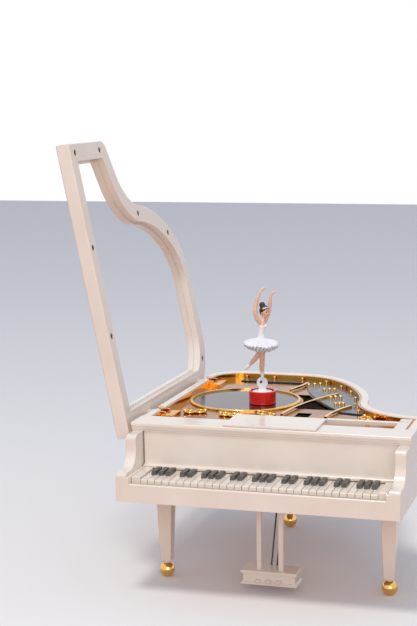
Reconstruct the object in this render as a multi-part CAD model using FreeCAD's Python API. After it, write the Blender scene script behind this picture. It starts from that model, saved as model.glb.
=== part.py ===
import FreeCAD, Part
import math
import os
from FreeCAD import Vector

# Miniature grand piano music box with a dancer that glides over a mirror.
# While it is modelled, X runs from bass to treble with zero at the middle of
# the case, Y runs from the front of the arms to the tail, Z up from the table.
# Millimetres. The last step moves everything so that the origin is at the
# middle of the bottom of the finished object's box.

# ---- case ----
CASE_WIDTH = 170.0
CASE_FLOOR = 60.0           # underside of the case above the table
CASE_HEIGHT = 41.5
RIM_WALL = 5.0
BOTTOM_THICKNESS = 2.4
FIT = 0.15                  # gap between fixed mouldings that nest
MOVING_GAP = 0.3            # gap between pieces that move past each other
PIN_FIT = 0.05              # radial clearance of a pin in a moving eye
CASE_SIDE_END = 184.8       # where the bass side starts to turn
CASE_TAIL_CORNER_R = 24.8
CASE_TAIL_R = 45.0
CASE_TAIL_TURN = 47.2
CASE_BENT_R = 119.8
CASE_BENT_TURN = 37.3
CASE_WAIST_R = 41.4
CASE_WAIST_TURN = 70.7
CASE_SHOULDER_FLAT = 7.1    # straight between the waist and the shoulder
CASE_SHOULDER_R = 6.4
INNER_CORNER_R = 1.5        # smallest radius where an inset shoulder closes up

# ---- keyboard end ----
ARM_LENGTH = 33.0
ARM_BLOCK_HEIGHT = 17.0
ARM_BLOCK_WIDTH = 8.3
ARM_WIDTH = 6.5
ARM_BLOCK_DEPTH = 8.0
ARM_NOSE_R = 2.2
ARM_HOLLOW_R = 10.5
ARM_SHOULDER_R = 3.0
DECK_THICKNESS = 5.5
DECK_NOSE = 2.8             # the deck stands this far in front of the case
DECK_DEPTH = 19.8
DECK_OVERHANG = 0.6
SLIP_THICKNESS = 2.3
SLIP_HEIGHT = 11.0
KEYS_FRONT = 5.0
KEY_COUNT = 32
KEY_BLOCK_WIDTH = 5.5       # space for the block at each end of the keys
KEY_SLOT = 0.4
KEY_SLOT_DEPTH = 2.6
KEY_TOP = 13.0              # white key tops above the case underside
KEY_BED_THICKNESS = 3.6
BLACK_WIDTH = 2.9
BLACK_HEIGHT = 2.5
BLACK_FRONT = 16.0
BLACK_REAR_INSET = 2.8      # black keys end before the white ones
FIRST_WHITE_NOTE = 3        # 0 is C, so 3 is F
FALL_SETBACK = 2.0          # behind the deck front
FALL_THICKNESS = 2.0
FALL_LIP_REACH = 2.6        # lip in front of the board
FALL_LIP_HEIGHT = 2.6

# ---- music desk and prop ----
DESK_LEFT = -28.0
DESK_RIGHT = 29.0
DESK_SETBACK = 1.3          # behind the deck front
DESK_DEPTH = 30.5
DESK_THICKNESS = 1.2
DESK_LIFT = 0.2             # gap between deck and desk
DESK_PIN_R = 0.6
DESK_EYE_R = 1.2
DESK_PIN_INSET = 1.5
DESK_TAB = 3.0
PROP_LENGTH = 48.0          # pin to tip
PROP_PIN_INSET = 9.5        # pin from the treble side
PROP_BEHIND_DESK = 7.6
PROP_WIDTH = 3.4
PROP_HEIGHT = 2.4
PROP_PIN_R = 0.7
PROP_EYE_R = 1.6
PROP_BLOCK_WIDTH = 13.5     # from the treble side
PROP_BLOCK_BACK = 8.4       # block behind the stick's middle

# ---- lid ----
LID_OPEN = 101.3            # degrees from shut to open
LID_HINGE_INSET = 0.93      # hinge axis inside the bass side
LID_HINGE_DROP = 2.95       # hinge axis below the rim top
LID_GAP = 1.9               # shut lid above the rim top
LID_HALF = 4.4              # thickness of each of its two halves
LID_BASS_OVERHANG = 6.1
LID_TREBLE_OVERHANG = 6.5
LID_SIDE_SHORTER = 15.8     # its bass side ends before that of the case
LID_TAIL_CORNER_R = 39.0
LID_TAIL_R = 53.8
LID_TAIL_TURN = 53.1
LID_BENT_R = 110.2
LID_BENT_TURN = 30.4
LID_WAIST_R = 38.7
LID_WAIST_TURN = 59.7
LID_SHOULDER_FLAT = 18.85
LID_SHOULDER_R = 8.6
LID_RAIL = 11.2
LID_HINGE_RAIL = 15.0
LID_FRONT_RAIL = 9.6
LID_LEDGE = 1.5             # outer half reaches this far into the window
LID_EDGE_R = 1.4
LID_SCREW_INSET = 6.0
SCREW_HEAD_R = 1.8
SCREW_SHANK_R = 0.85
SCREW_HEAD_HEIGHT = 0.9
SCREW_SINK = 0.3
HINGE_FROM_FRONT = 40.5     # front hinge behind the case front
HINGE_SPACING = 104.5
HINGE_PIN_R = 0.8
HINGE_EYE_R = 1.9
LUG_WIDTH = 6.0
EAR_WIDTH = 2.5
HINGE_BLOCK_LENGTH = 17.0
HINGE_BLOCK_WIDTH = 8.2
HINGE_BLOCK_HEIGHT = 1.8

# ---- legs and lyre ----
LEG_TOP = 10.4
LEG_BOTTOM = 6.6
LEG_NECK_R = 2.3
LEG_NECK_HEIGHT = 1.6
FRONT_LEG_INSET = 14.8      # from the side of the case
FRONT_LEG_BACK = 15.9       # behind the case front
REAR_LEG_X = -22.2
REAR_LEG_AHEAD = 11.3       # before the end of the bass side
BALL_R = 4.8
BALL_CENTRE = 4.5
BALL_TOP = 9.0
BALL_STEM_R = 1.0
BALL_STEM_LENGTH = 4.0
PEDAL_BOX_HALF = 17.3
PEDAL_BOX_AHEAD = 2.4       # in front of the case front
PEDAL_BOX_DEPTH = 15.6
PEDAL_BOX_LOW = 5.4
PEDAL_BOX_TOP = 13.95
PEDAL_MOULDING = 1.7
PEDAL_INSET = 1.2
LYRE_POST = 3.0
LYRE_SPACING = 13.5
LYRE_POST_INSET = 3.4
PEDAL_SPACING = 6.4
PEDAL_WIDTH = 2.6
PEDAL_REACH = 3.2
PEDAL_THICKNESS = 1.3
ROD_R = 0.5
ROD_SPACING = 3.6
ROD_LEAN = 19.8             # top of the rods behind the pedal box

# ---- gilded inside ----
LINING = 1.0
LINING_DROP = 0.9           # lining top below the rim top
TRAY_DEPTH = 4.5            # tray floor below the rim top
TRAY_THICKNESS = 1.4
TRAY_SEAT = 1.8             # ledge on the rim that carries the tray
STAGE_INSET = 44.0          # stage centre from the bass side
STAGE_FROM_FRONT = 96.0
RING_R = 36.9
RING_SKIRT = 2.2
MIRROR_R = 34.8
MIRROR_RISE = 0.4           # mirror top above the tray floor
MIRROR_THICKNESS = 1.2
SOUND_HOLE_RIGHT = 43.0     # left edge of the hole from the stage centre
SOUND_HOLE_AHEAD = 29.0     # rear edge of the hole before the stage centre
SOUND_HOLE_WIDTH = 9.0
SOUND_HOLE_DEPTH = 14.0
RING_LEDGE = 1.6
RING_RISE = 1.0
HARP_THICKNESS = 0.8
HARP_TAIL_START = 7.7       # behind the end of the bass side
HARP_TAIL_INSET = 23.0      # from the bass side
PIN_HEAD_R = 1.1
PIN_HEAD_HEIGHT = 1.8
STUD_COUNT = 11
STUD_INSET = 8.4
STUD_R = 0.9
STUD_HEIGHT = 2.2
STRUT_WIDTH = 1.8
STRUT_HEIGHT = 1.2
SCROLL_R = 3.2
SCROLL_WIRE_R = 0.8

# ---- dancer ----
POT_R = 8.8
POT_HEIGHT = 8.6
POT_WALL = 1.2
POT_FLOOR = 3.0
GLIDE_GAP = 0.05
DANCER_FACING = 17.0        # degrees from +X
LOOP_HEIGHT = 10.5
LOOP_WIDTH = 7.4
LOOP_THICKNESS = 2.0
TUTU_R = 12.0

# ---- movement ----
ORBIT_START = -27.4         # degrees
GEAR_MODULE = 0.95
SUN_TEETH = 16
WHEEL_TEETH = 48
PINION_TEETH = 12
CROWN_TEETH = 25
CYLINDER_TEETH = 20
CROWN_MODULE = 0.8
TOOTH_SHARE = 0.4           # tooth thickness over pitch
WHEEL_LOW = 85.0
WHEEL_THICKNESS = 3.0
PLANET_THICKNESS = 2.5
POST_R = 2.0
CUP_WALL = 0.6
MAGNET_R = 6.0
BARREL_R = 8.0
BARREL_LOW = 66.0
CROWN_LOW = 70.0
CROWN_TALL = 1.6
ARBOR_R = 2.0
KEY_DROP = 12.0
KEY_WING = 11.0
CYLINDER_R = 7.0
CYLINDER_LENGTH = 21.0
COMB_TEETH = 18
COMB_PITCH = 1.15
COMB_TOOTH = 0.85
BEDPLATE_THICKNESS = 3.0

# ---- values that follow ----
HALF_WIDTH = CASE_WIDTH / 2
DECK_FRONT = ARM_LENGTH - DECK_NOSE
DECK_REAR = DECK_FRONT + DECK_DEPTH
FALL_FRONT = DECK_FRONT + FALL_SETBACK
FALL_LIP_FRONT = FALL_FRONT - FALL_LIP_REACH
KEYS_REAR = FALL_FRONT - 1.4
KEYS_WIDTH = CASE_WIDTH - 2 * (ARM_BLOCK_WIDTH + KEY_BLOCK_WIDTH)
BLACK_REAR = KEYS_REAR - BLACK_REAR_INSET
DESK_FRONT = DECK_FRONT + DESK_SETBACK
DESK_REAR = DESK_FRONT + DESK_DEPTH
PROP_PIN_X = HALF_WIDTH - PROP_PIN_INSET
PROP_TIP = PROP_PIN_X - PROP_LENGTH
PROP_Y = DESK_REAR + PROP_BEHIND_DESK
PROP_BLOCK_LEFT = HALF_WIDTH - PROP_BLOCK_WIDTH
PROP_BLOCK_REAR = PROP_Y + PROP_BLOCK_BACK
LID_HINGE_X = -HALF_WIDTH + LID_HINGE_INSET
LID_LEFT = -HALF_WIDTH - LID_BASS_OVERHANG
LID_RIGHT = HALF_WIDTH + LID_TREBLE_OVERHANG
LID_FRONT = ARM_LENGTH
LID_SIDE_END = CASE_SIDE_END - LID_SIDE_SHORTER
HINGE_YS = (ARM_LENGTH + HINGE_FROM_FRONT, ARM_LENGTH + HINGE_FROM_FRONT + HINGE_SPACING)
FRONT_LEG_X = HALF_WIDTH - FRONT_LEG_INSET
FRONT_LEG_Y = ARM_LENGTH + FRONT_LEG_BACK
REAR_LEG_Y = CASE_SIDE_END - REAR_LEG_AHEAD
PEDAL_BOX_FRONT = ARM_LENGTH - PEDAL_BOX_AHEAD
PEDAL_BOX_REAR = PEDAL_BOX_FRONT + PEDAL_BOX_DEPTH
LYRE_POST_FRONT = PEDAL_BOX_FRONT + LYRE_POST_INSET
ROD_TOP_Y = PEDAL_BOX_REAR + ROD_LEAN
STAGE_X = -HALF_WIDTH + STAGE_INSET
STAGE_Y = ARM_LENGTH + STAGE_FROM_FRONT
HARP_TAIL_FRONT = CASE_SIDE_END + HARP_TAIL_START
HARP_TAIL_LEFT = -HALF_WIDTH + HARP_TAIL_INSET
RIM_TOP = CASE_FLOOR + CASE_HEIGHT
FLOOR_TOP = CASE_FLOOR + BOTTOM_THICKNESS
DECK_LOW = RIM_TOP - DECK_THICKNESS
BLOCK_INNER = HALF_WIDTH - ARM_BLOCK_WIDTH
ARM_INNER = HALF_WIDTH - ARM_WIDTH
HINGE_Z = RIM_TOP - LID_HINGE_DROP
LID_LOW = RIM_TOP + LID_GAP
LID_MID = LID_LOW + LID_HALF
LID_TOP = LID_MID + LID_HALF
TRAY_TOP = RIM_TOP - TRAY_DEPTH
TRAY_LOW = TRAY_TOP - TRAY_THICKNESS
HARP_TOP = TRAY_TOP + HARP_THICKNESS
MIRROR_TOP = TRAY_TOP + MIRROR_RISE
LINING_INSET = RIM_WALL + FIT
WELL_R = MIRROR_R - RING_LEDGE
STAGE_UNDER = MIRROR_TOP - MIRROR_THICKNESS
POT_LOW = MIRROR_TOP + GLIDE_GAP
POT_TOP = POT_LOW + POT_HEIGHT
ORBIT_R = GEAR_MODULE * SUN_TEETH       # stage centre to the dancer
ORBIT_ANGLE = math.radians(ORBIT_START)
PLANET_X = STAGE_X + ORBIT_R * math.cos(ORBIT_ANGLE)
PLANET_Y = STAGE_Y + ORBIT_R * math.sin(ORBIT_ANGLE)
BARREL_X = STAGE_X + GEAR_MODULE * (WHEEL_TEETH + PINION_TEETH) / 2
BARREL_Y = STAGE_Y
CROWN_R = CROWN_MODULE * CROWN_TEETH / 2
CYLINDER_GEAR_R = CROWN_MODULE * CYLINDER_TEETH / 2
CYLINDER_Z = CROWN_LOW + CROWN_TALL / 2 + CYLINDER_GEAR_R
GEAR_FACE = 1.5
CYLINDER_GEAR_X = BARREL_X + CROWN_R - GEAR_FACE / 2
PLANET_LOW = WHEEL_LOW + WHEEL_THICKNESS + 1.0
DESK_LOW = RIM_TOP + DESK_LIFT
DESK_PIN_Y = DESK_REAR - DESK_PIN_INSET
DESK_PIN_Z = DESK_LOW - DESK_EYE_R - MOVING_GAP
PROP_PIN_Z = RIM_TOP - PROP_HEIGHT / 2 - MOVING_GAP
FAN_X = CYLINDER_GEAR_X + CYLINDER_LENGTH + 11.2

UP = Vector(0, 0, 1)
ALONG_X = Vector(1, 0, 0)
ALONG_Y = Vector(0, 1, 0)
nodes = {}


# ---- small tools ----
def box(x0, x1, y0, y1, z0, z1):
    return Part.makeBox(x1 - x0, y1 - y0, z1 - z0, Vector(x0, y0, z0))


def rod(x, y, z0, z1, radius):
    return Part.makeCylinder(radius, z1 - z0, Vector(x, y, z0), UP)


def rod_x(x0, x1, y, z, radius):
    return Part.makeCylinder(radius, x1 - x0, Vector(x0, y, z), ALONG_X)


def rod_y(x, y0, y1, z, radius):
    return Part.makeCylinder(radius, y1 - y0, Vector(x, y0, z), ALONG_Y)


def fuse(shapes):
    whole = shapes[0].multiFuse(shapes[1:]).removeSplitter()
    return whole.Solids[0] if len(whole.Solids) == 1 else whole


def cut(shape, tools):
    rest = shape.cut(tools)
    return rest.Solids[0] if len(rest.Solids) == 1 else rest


def group(solids):
    return Part.makeCompound(solids)


def polygon_face(points):
    return Part.Face(Part.makePolygon([Vector(*p) for p in points + points[:1]]))


def slab(face, z0, z1):
    base = face.copy()
    base.translate(Vector(0, 0, z0))
    return base.extrude(Vector(0, 0, z1 - z0))


def across(edges, x0, x1):
    """Extrudes a profile drawn in the YZ plane from x0 to x1."""
    face = Part.Face(Part.Wire(edges))
    face.translate(Vector(x0, 0, 0))
    return face.extrude(Vector(x1 - x0, 0, 0))


def line(a, b):
    return Part.LineSegment(Vector(*a), Vector(*b)).toShape()


def arc(a, middle, b):
    return Part.Arc(Vector(*a), Vector(*middle), Vector(*b)).toShape()


def soften(shape, radius, wanted):
    edges = [edge for edge in shape.Edges if wanted(edge)]
    return shape.makeFillet(radius, edges) if edges else shape


def level(edge, z):
    box_of_edge = edge.BoundBox
    return abs(box_of_edge.ZMin - z) < 0.01 and abs(box_of_edge.ZMax - z) < 0.01


# ---- plan outlines ----
class PlanPath:
    """Straights and arcs that run into each other, drawn from above."""

    def __init__(self, x, y):
        self.x = x
        self.y = y
        self.heading = 90.0
        self.edges = []

    def straight(self, length):
        start = Vector(self.x, self.y, 0)
        self.x += length * math.cos(math.radians(self.heading))
        self.y += length * math.sin(math.radians(self.heading))
        self.edges.append(Part.LineSegment(start, Vector(self.x, self.y, 0)).toShape())

    def turn(self, radius, angle):
        """Turns right for a positive angle and left for a negative one."""
        side = math.copysign(1, angle)
        start = Vector(self.x, self.y, 0)
        points = []
        to_centre = math.radians(self.heading - side * 90)
        centre = start + Vector(math.cos(to_centre), math.sin(to_centre), 0) * radius
        for share in (0.5, 1.0):
            spoke = math.radians(self.heading + side * 90 - share * angle)
            points.append(centre + Vector(math.cos(spoke), math.sin(spoke), 0) * radius)
        self.edges.append(Part.Arc(start, points[0], points[1]).toShape())
        self.x = points[1].x
        self.y = points[1].y
        self.heading -= angle


class PianoPlan:
    """A grand piano's outline: long bass side, round tail, bent treble side."""

    def __init__(self, left, right, front, side_end, corner_r, turns, shoulder_flat, shoulder_r):
        self.left = left
        self.right = right
        self.front = front
        self.side_end = side_end
        self.corner_r = corner_r
        self.tail_straight = 0.0
        self.turns = turns
        self.shoulder_r = shoulder_r
        bent_end = self.start(0.0, front)
        slope = math.radians(bent_end.heading)
        shoulder = shoulder_flat * math.cos(slope) + shoulder_r * (1 + math.sin(slope))
        self.tail_straight = right - shoulder - bent_end.x

    def start(self, inset, front):
        path = PlanPath(self.left + inset, front)
        path.straight(self.side_end - front)
        path.turn(self.corner_r - inset, 90.0)
        if self.tail_straight:
            path.straight(self.tail_straight)
        for radius, angle in self.turns:
            path.turn(radius - math.copysign(inset, angle), angle)
        return path

    def face(self, inset=0.0, front=None, left=None):
        """The outline moved inwards, cut off at a front line and a left line."""
        first = self.front if front is None else front
        path = self.start(inset, min(first, self.front))
        corner_r = max(self.shoulder_r - inset, INNER_CORNER_R)
        slope = math.radians(path.heading)
        reach = self.right - inset - path.x - corner_r * (1 + math.sin(slope))
        path.straight(reach / math.cos(slope))
        path.turn(corner_r, path.heading + 90.0)
        path.straight(path.y - min(first, self.front))
        end = Vector(path.x, path.y, 0)
        begin = Vector(self.left + inset, min(first, self.front), 0)
        path.edges.append(Part.LineSegment(end, begin).toShape())
        face = Part.Face(Part.Wire(path.edges))
        if first > self.front or left is not None:
            low_x = self.left - 1 if left is None else left
            window = Part.makePlane(self.right - low_x + 1, 2 * self.side_end,
                                    Vector(low_x, first, 0))
            face = face.common(window).Faces[0]
        return face


CASE_PLAN = PianoPlan(-HALF_WIDTH, HALF_WIDTH, ARM_LENGTH, CASE_SIDE_END, CASE_TAIL_CORNER_R,
                      ((CASE_TAIL_R, CASE_TAIL_TURN), (CASE_BENT_R, CASE_BENT_TURN),
                       (CASE_WAIST_R, -CASE_WAIST_TURN)), CASE_SHOULDER_FLAT, CASE_SHOULDER_R)
LID_PLAN = PianoPlan(LID_LEFT, LID_RIGHT, LID_FRONT, LID_SIDE_END, LID_TAIL_CORNER_R,
                     ((LID_TAIL_R, LID_TAIL_TURN), (LID_BENT_R, LID_BENT_TURN),
                      (LID_WAIST_R, -LID_WAIST_TURN)), LID_SHOULDER_FLAT, LID_SHOULDER_R)


def on_outline(plan, inset, stretch, share):
    """A point on one stretch of an outline moved inwards, a share of the way along it."""
    edge = plan.start(inset, plan.front).edges[stretch]
    point = edge.valueAt(edge.FirstParameter + share * (edge.LastParameter - edge.FirstParameter))
    return point.x, point.y


TAIL_CORNER, TAIL_STRAIGHT, TAIL_CURVE, BENT_SIDE, WAIST = range(1, 6)


def gear(x, y, z, teeth, module, thickness, bore, phase):
    """A spur gear whose first tooth points at phase degrees."""
    pitch_r = module * teeth / 2
    tip_r = pitch_r + 0.75 * module
    root_r = pitch_r - module
    half = math.pi * TOOTH_SHARE / teeth
    points = []
    for tooth in range(teeth):
        middle = math.radians(phase) + 2 * math.pi * tooth / teeth
        for radius, offset in ((root_r, -1.35 * half), (tip_r, -0.45 * half),
                               (tip_r, 0.45 * half), (root_r, 1.35 * half)):
            points.append((x + radius * math.cos(middle + offset),
                           y + radius * math.sin(middle + offset), z))
    wheel = polygon_face(points).extrude(Vector(0, 0, thickness))
    return cut(wheel, [rod(x, y, z - 1, z + thickness + 1, bore)])


# ---- case ----
POST_INSET = 7.6
FRONT_POST_BACK = 28.0
SIDE_POST_BACK = 125.0
SCREW_POSTS = [(-HALF_WIDTH + POST_INSET, ARM_LENGTH + FRONT_POST_BACK),
               (HALF_WIDTH - POST_INSET, ARM_LENGTH + FRONT_POST_BACK),
               (-HALF_WIDTH + POST_INSET, ARM_LENGTH + SIDE_POST_BACK),
               on_outline(CASE_PLAN, POST_INSET, TAIL_STRAIGHT, 0.48),
               on_outline(CASE_PLAN, POST_INSET, BENT_SIDE, 0.62)]
POST_BOSS_R = 3.2
POST_BOSS_TOP = 76.0
BOTTOM_SCREW_R = 1.2


def hinge_notch(y):
    half = LUG_WIDTH / 2 + MOVING_GAP + EAR_WIDTH + FIT
    return box(-HALF_WIDTH - 2, -HALF_WIDTH + RIM_WALL + LINING + 1, y - half, y + half,
               HINGE_Z - HINGE_EYE_R - 1.3, RIM_TOP + 1)


def case_rim():
    wall = slab(CASE_PLAN.face(), CASE_FLOOR, RIM_TOP)
    hollow = slab(CASE_PLAN.face(RIM_WALL, ARM_LENGTH - 1), CASE_FLOOR - 1, RIM_TOP + 1)
    rim = cut(wall, [hollow])
    rim = soften(rim, 0.8, lambda edge: level(edge, RIM_TOP) and edge.Length > 6)
    bosses = [rod(x, y, FLOOR_TOP + FIT, POST_BOSS_TOP, POST_BOSS_R) for x, y in SCREW_POSTS]
    seat_ring = cut(slab(CASE_PLAN.face(RIM_WALL - 0.5, DECK_REAR), TRAY_LOW - TRAY_SEAT, TRAY_LOW),
                    [slab(CASE_PLAN.face(RIM_WALL + TRAY_SEAT, DECK_REAR - 1),
                          TRAY_LOW - TRAY_SEAT - 1, TRAY_LOW + 1)])
    rim = fuse([rim, seat_ring] + bosses)
    seat = box(-HALF_WIDTH - 1, HALF_WIDTH + 1, ARM_LENGTH - 1, DECK_REAR + FIT,
               DECK_LOW, RIM_TOP + 1)
    pilots = [rod(x, y, FLOOR_TOP - 1, POST_BOSS_TOP - 2, BOTTOM_SCREW_R + 0.02)
              for x, y in SCREW_POSTS]
    outside = cut(box(-CASE_WIDTH, CASE_WIDTH, 0, 2 * CASE_SIDE_END, CASE_FLOOR - 2, RIM_TOP + 2),
                  [slab(CASE_PLAN.face(), CASE_FLOOR - 3, RIM_TOP + 3)])
    return cut(rim, [seat, outside] + pilots + [hinge_notch(y) for y in HINGE_YS])


def leg_places():
    return [("leg_front_left", -FRONT_LEG_X, FRONT_LEG_Y),
            ("leg_front_right", FRONT_LEG_X, FRONT_LEG_Y),
            ("leg_rear", REAR_LEG_X, REAR_LEG_Y)]


LEG_SCREW_R = 1.2
LEG_SCREW_DEPTH = 8.0


def bottom_plate():
    inner = slab(CASE_PLAN.face(RIM_WALL + FIT), CASE_FLOOR, FLOOR_TOP)
    front = box(-BLOCK_INNER + FIT, BLOCK_INNER - FIT, SLIP_THICKNESS, ARM_LENGTH + FIT,
                CASE_FLOOR, FLOOR_TOP)
    plate = fuse([inner, front])
    holes = [rod(x, y, CASE_FLOOR - 1, FLOOR_TOP + 1, BOTTOM_SCREW_R + 0.1)
             for x, y in SCREW_POSTS]
    holes += [rod(x, y, CASE_FLOOR - 1, CASE_FLOOR + 1.2, 2.5) for x, y in SCREW_POSTS]
    holes += [rod(x, y, CASE_FLOOR - 1, FLOOR_TOP + 1, LEG_SCREW_R + 0.1)
              for name, x, y in leg_places()]
    holes.append(rod(BARREL_X, BARREL_Y, CASE_FLOOR - 1, FLOOR_TOP + 1, ARBOR_R + 0.6))
    return cut(plate, holes)


def bottom_screws():
    return group([fuse([rod(x, y, CASE_FLOOR + 0.2, CASE_FLOOR + 1.2, 2.4),
                        rod(x, y, CASE_FLOOR + 1.2, POST_BOSS_TOP - 3, BOTTOM_SCREW_R)])
                  for x, y in SCREW_POSTS])


def arm(side):
    top = DECK_LOW
    block_top = CASE_FLOOR + ARM_BLOCK_HEIGHT
    hollow_end = ARM_BLOCK_DEPTH + ARM_HOLLOW_R
    shoulder_end = hollow_end + ARM_SHOULDER_R
    nose = ARM_NOSE_R * (1 - math.sqrt(0.5))
    bend = ARM_HOLLOW_R * math.sqrt(0.5)
    curl = ARM_SHOULDER_R * (1 - math.sqrt(0.5))
    edges = [
        line((0, 0, CASE_FLOOR), (0, 0, block_top - ARM_NOSE_R)),
        arc((0, 0, block_top - ARM_NOSE_R), (0, nose, block_top - nose),
            (0, ARM_NOSE_R, block_top)),
        line((0, ARM_NOSE_R, block_top), (0, ARM_BLOCK_DEPTH, block_top)),
        arc((0, ARM_BLOCK_DEPTH, block_top),
            (0, ARM_BLOCK_DEPTH + bend, block_top + ARM_HOLLOW_R - bend),
            (0, hollow_end, block_top + ARM_HOLLOW_R)),
        line((0, hollow_end, block_top + ARM_HOLLOW_R), (0, hollow_end, top - ARM_SHOULDER_R)),
        arc((0, hollow_end, top - ARM_SHOULDER_R), (0, hollow_end + curl, top - curl),
            (0, shoulder_end, top)),
        line((0, shoulder_end, top), (0, ARM_LENGTH, top)),
        line((0, ARM_LENGTH, top), (0, ARM_LENGTH, CASE_FLOOR)),
        line((0, ARM_LENGTH, CASE_FLOOR), (0, 0, CASE_FLOOR)),
    ]
    cheek = across(edges, ARM_INNER, HALF_WIDTH)
    cheek = soften(cheek, 0.7, lambda edge: edge.BoundBox.YMax < ARM_LENGTH - 0.1
                   and abs(edge.BoundBox.XLength) < 0.01 and edge.BoundBox.ZMax > CASE_FLOOR + 1
                   and edge.BoundBox.XMin > HALF_WIDTH - 0.1)
    block = box(BLOCK_INNER, ARM_INNER + 0.5, 0, FALL_LIP_FRONT - FIT, CASE_FLOOR,
                block_top - ARM_NOSE_R)
    block = soften(block, 0.6, lambda edge: level(edge, block_top - ARM_NOSE_R))
    whole = fuse([cheek, block])
    if side < 0:
        whole = whole.mirror(Vector(0, 0, 0), ALONG_X)
    return whole


def deck():
    front = DECK_FRONT
    edges = [
        line((0, DECK_REAR, DECK_LOW), (0, DECK_REAR, RIM_TOP)),
        line((0, DECK_REAR, RIM_TOP), (0, front + 1.0, RIM_TOP)),
        arc((0, front + 1.0, RIM_TOP), (0, front + 0.3, RIM_TOP - 0.3), (0, front, RIM_TOP - 1.0)),
        line((0, front, RIM_TOP - 1.0), (0, front, RIM_TOP - 2.2)),
        line((0, front, RIM_TOP - 2.2), (0, front + 0.8, RIM_TOP - 2.5)),
        line((0, front + 0.8, RIM_TOP - 2.5), (0, front + 0.8, RIM_TOP - 4.1)),
        line((0, front + 0.8, RIM_TOP - 4.1), (0, front + 1.5, RIM_TOP - 4.5)),
        line((0, front + 1.5, RIM_TOP - 4.5), (0, front + 1.5, DECK_LOW)),
        line((0, front + 1.5, DECK_LOW), (0, DECK_REAR, DECK_LOW)),
    ]
    reach = HALF_WIDTH + DECK_OVERHANG
    return across(edges, -reach, reach)


def fallboard():
    low = CASE_FLOOR + KEY_TOP + 0.3
    lip_top = low + FALL_LIP_HEIGHT
    nose_r = FALL_LIP_HEIGHT / 2
    nose_y = FALL_LIP_FRONT + nose_r
    back = FALL_FRONT + FALL_THICKNESS
    edges = [
        line((0, back, low), (0, nose_y, low)),
        arc((0, nose_y, low), (0, FALL_LIP_FRONT, low + nose_r), (0, nose_y, lip_top)),
        line((0, nose_y, lip_top), (0, FALL_FRONT, lip_top)),
        line((0, FALL_FRONT, lip_top), (0, FALL_FRONT, DECK_LOW - 0.1)),
        line((0, FALL_FRONT, DECK_LOW - 0.1), (0, back, DECK_LOW - 0.1)),
        line((0, back, DECK_LOW - 0.1), (0, back, low)),
    ]
    reach = ARM_INNER - 0.6
    return across(edges, -reach, reach)


def key_slip():
    slip = box(-BLOCK_INNER, BLOCK_INNER, 0, SLIP_THICKNESS, CASE_FLOOR,
               CASE_FLOOR + SLIP_HEIGHT)
    return soften(slip, 0.8, lambda edge: level(edge, CASE_FLOOR + SLIP_HEIGHT)
                  and edge.Length > 10)


def key_bed():
    return box(-BLOCK_INNER + FIT, BLOCK_INNER - FIT, SLIP_THICKNESS, KEYS_REAR + 1.5,
               FLOOR_TOP, FLOOR_TOP + KEY_BED_THICKNESS)


def key_blocks():
    low = FLOOR_TOP + KEY_BED_THICKNESS
    block = box(KEYS_WIDTH / 2 + FIT, BLOCK_INNER - FIT, KEYS_FRONT, KEYS_REAR - 2, low,
                CASE_FLOOR + KEY_TOP + 1.5)
    block = soften(block, 0.5, lambda edge: level(edge, CASE_FLOOR + KEY_TOP + 1.5))
    return group([block, block.mirror(Vector(0, 0, 0), ALONG_X)])


def white_keys():
    low = FLOOR_TOP + KEY_BED_THICKNESS
    top = CASE_FLOOR + KEY_TOP
    pitch = KEYS_WIDTH / KEY_COUNT
    strip = box(-KEYS_WIDTH / 2, KEYS_WIDTH / 2, KEYS_FRONT + 0.8, KEYS_REAR, low,
                top - KEY_SLOT_DEPTH + 0.1)
    keys = []
    for index in range(KEY_COUNT):
        left = -KEYS_WIDTH / 2 + index * pitch
        key = box(left + KEY_SLOT / 2, left + pitch - KEY_SLOT / 2, KEYS_FRONT, KEYS_REAR,
                  top - KEY_SLOT_DEPTH, top)
        keys.append(soften(key, 0.5, lambda edge: level(edge, top)
                           and edge.BoundBox.YMax < KEYS_FRONT + 0.1))
    return fuse([strip] + keys)


def black_key(x):
    low = CASE_FLOOR + KEY_TOP
    top = low + BLACK_HEIGHT
    edges = [
        line((0, BLACK_FRONT, low), (0, BLACK_FRONT + 1.3, top)),
        line((0, BLACK_FRONT + 1.3, top), (0, BLACK_REAR, top)),
        line((0, BLACK_REAR, top), (0, BLACK_REAR, low)),
        line((0, BLACK_REAR, low), (0, BLACK_FRONT, low)),
    ]
    key = across(edges, x - BLACK_WIDTH / 2, x + BLACK_WIDTH / 2)
    return soften(key, 0.35, lambda edge: edge.BoundBox.ZMin > top - 0.01)


def black_keys():
    pitch = KEYS_WIDTH / KEY_COUNT
    sharp_after = (True, True, False, True, True, True, False)
    keys = []
    for index in range(KEY_COUNT - 1):
        if sharp_after[(FIRST_WHITE_NOTE + index) % len(sharp_after)]:
            keys.append(black_key(-KEYS_WIDTH / 2 + (index + 1) * pitch))
    return group(keys)


# ---- music desk and prop ----
def desk_tabs():
    half = DESK_TAB / 2
    inset = DESK_TAB / 2 + 2.0
    return [DESK_LEFT + inset - half, DESK_RIGHT - inset - half]


def music_desk():
    plate = box(DESK_LEFT, DESK_RIGHT, DESK_FRONT, DESK_REAR, DESK_LOW,
                DESK_LOW + DESK_THICKNESS)
    plate = soften(plate, 0.4, lambda edge: level(edge, DESK_LOW + DESK_THICKNESS))
    parts = [plate]
    for left in desk_tabs():
        parts.append(box(left, left + DESK_TAB, DESK_PIN_Y - DESK_EYE_R, DESK_PIN_Y + DESK_EYE_R,
                         DESK_PIN_Z, DESK_LOW + 0.2))
        parts.append(rod_x(left, left + DESK_TAB, DESK_PIN_Y, DESK_PIN_Z, DESK_EYE_R))
    bores = [rod_x(left - 1, left + DESK_TAB + 1, DESK_PIN_Y, DESK_PIN_Z, DESK_PIN_R + PIN_FIT)
             for left in desk_tabs()]
    return cut(fuse(parts), bores)


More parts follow.
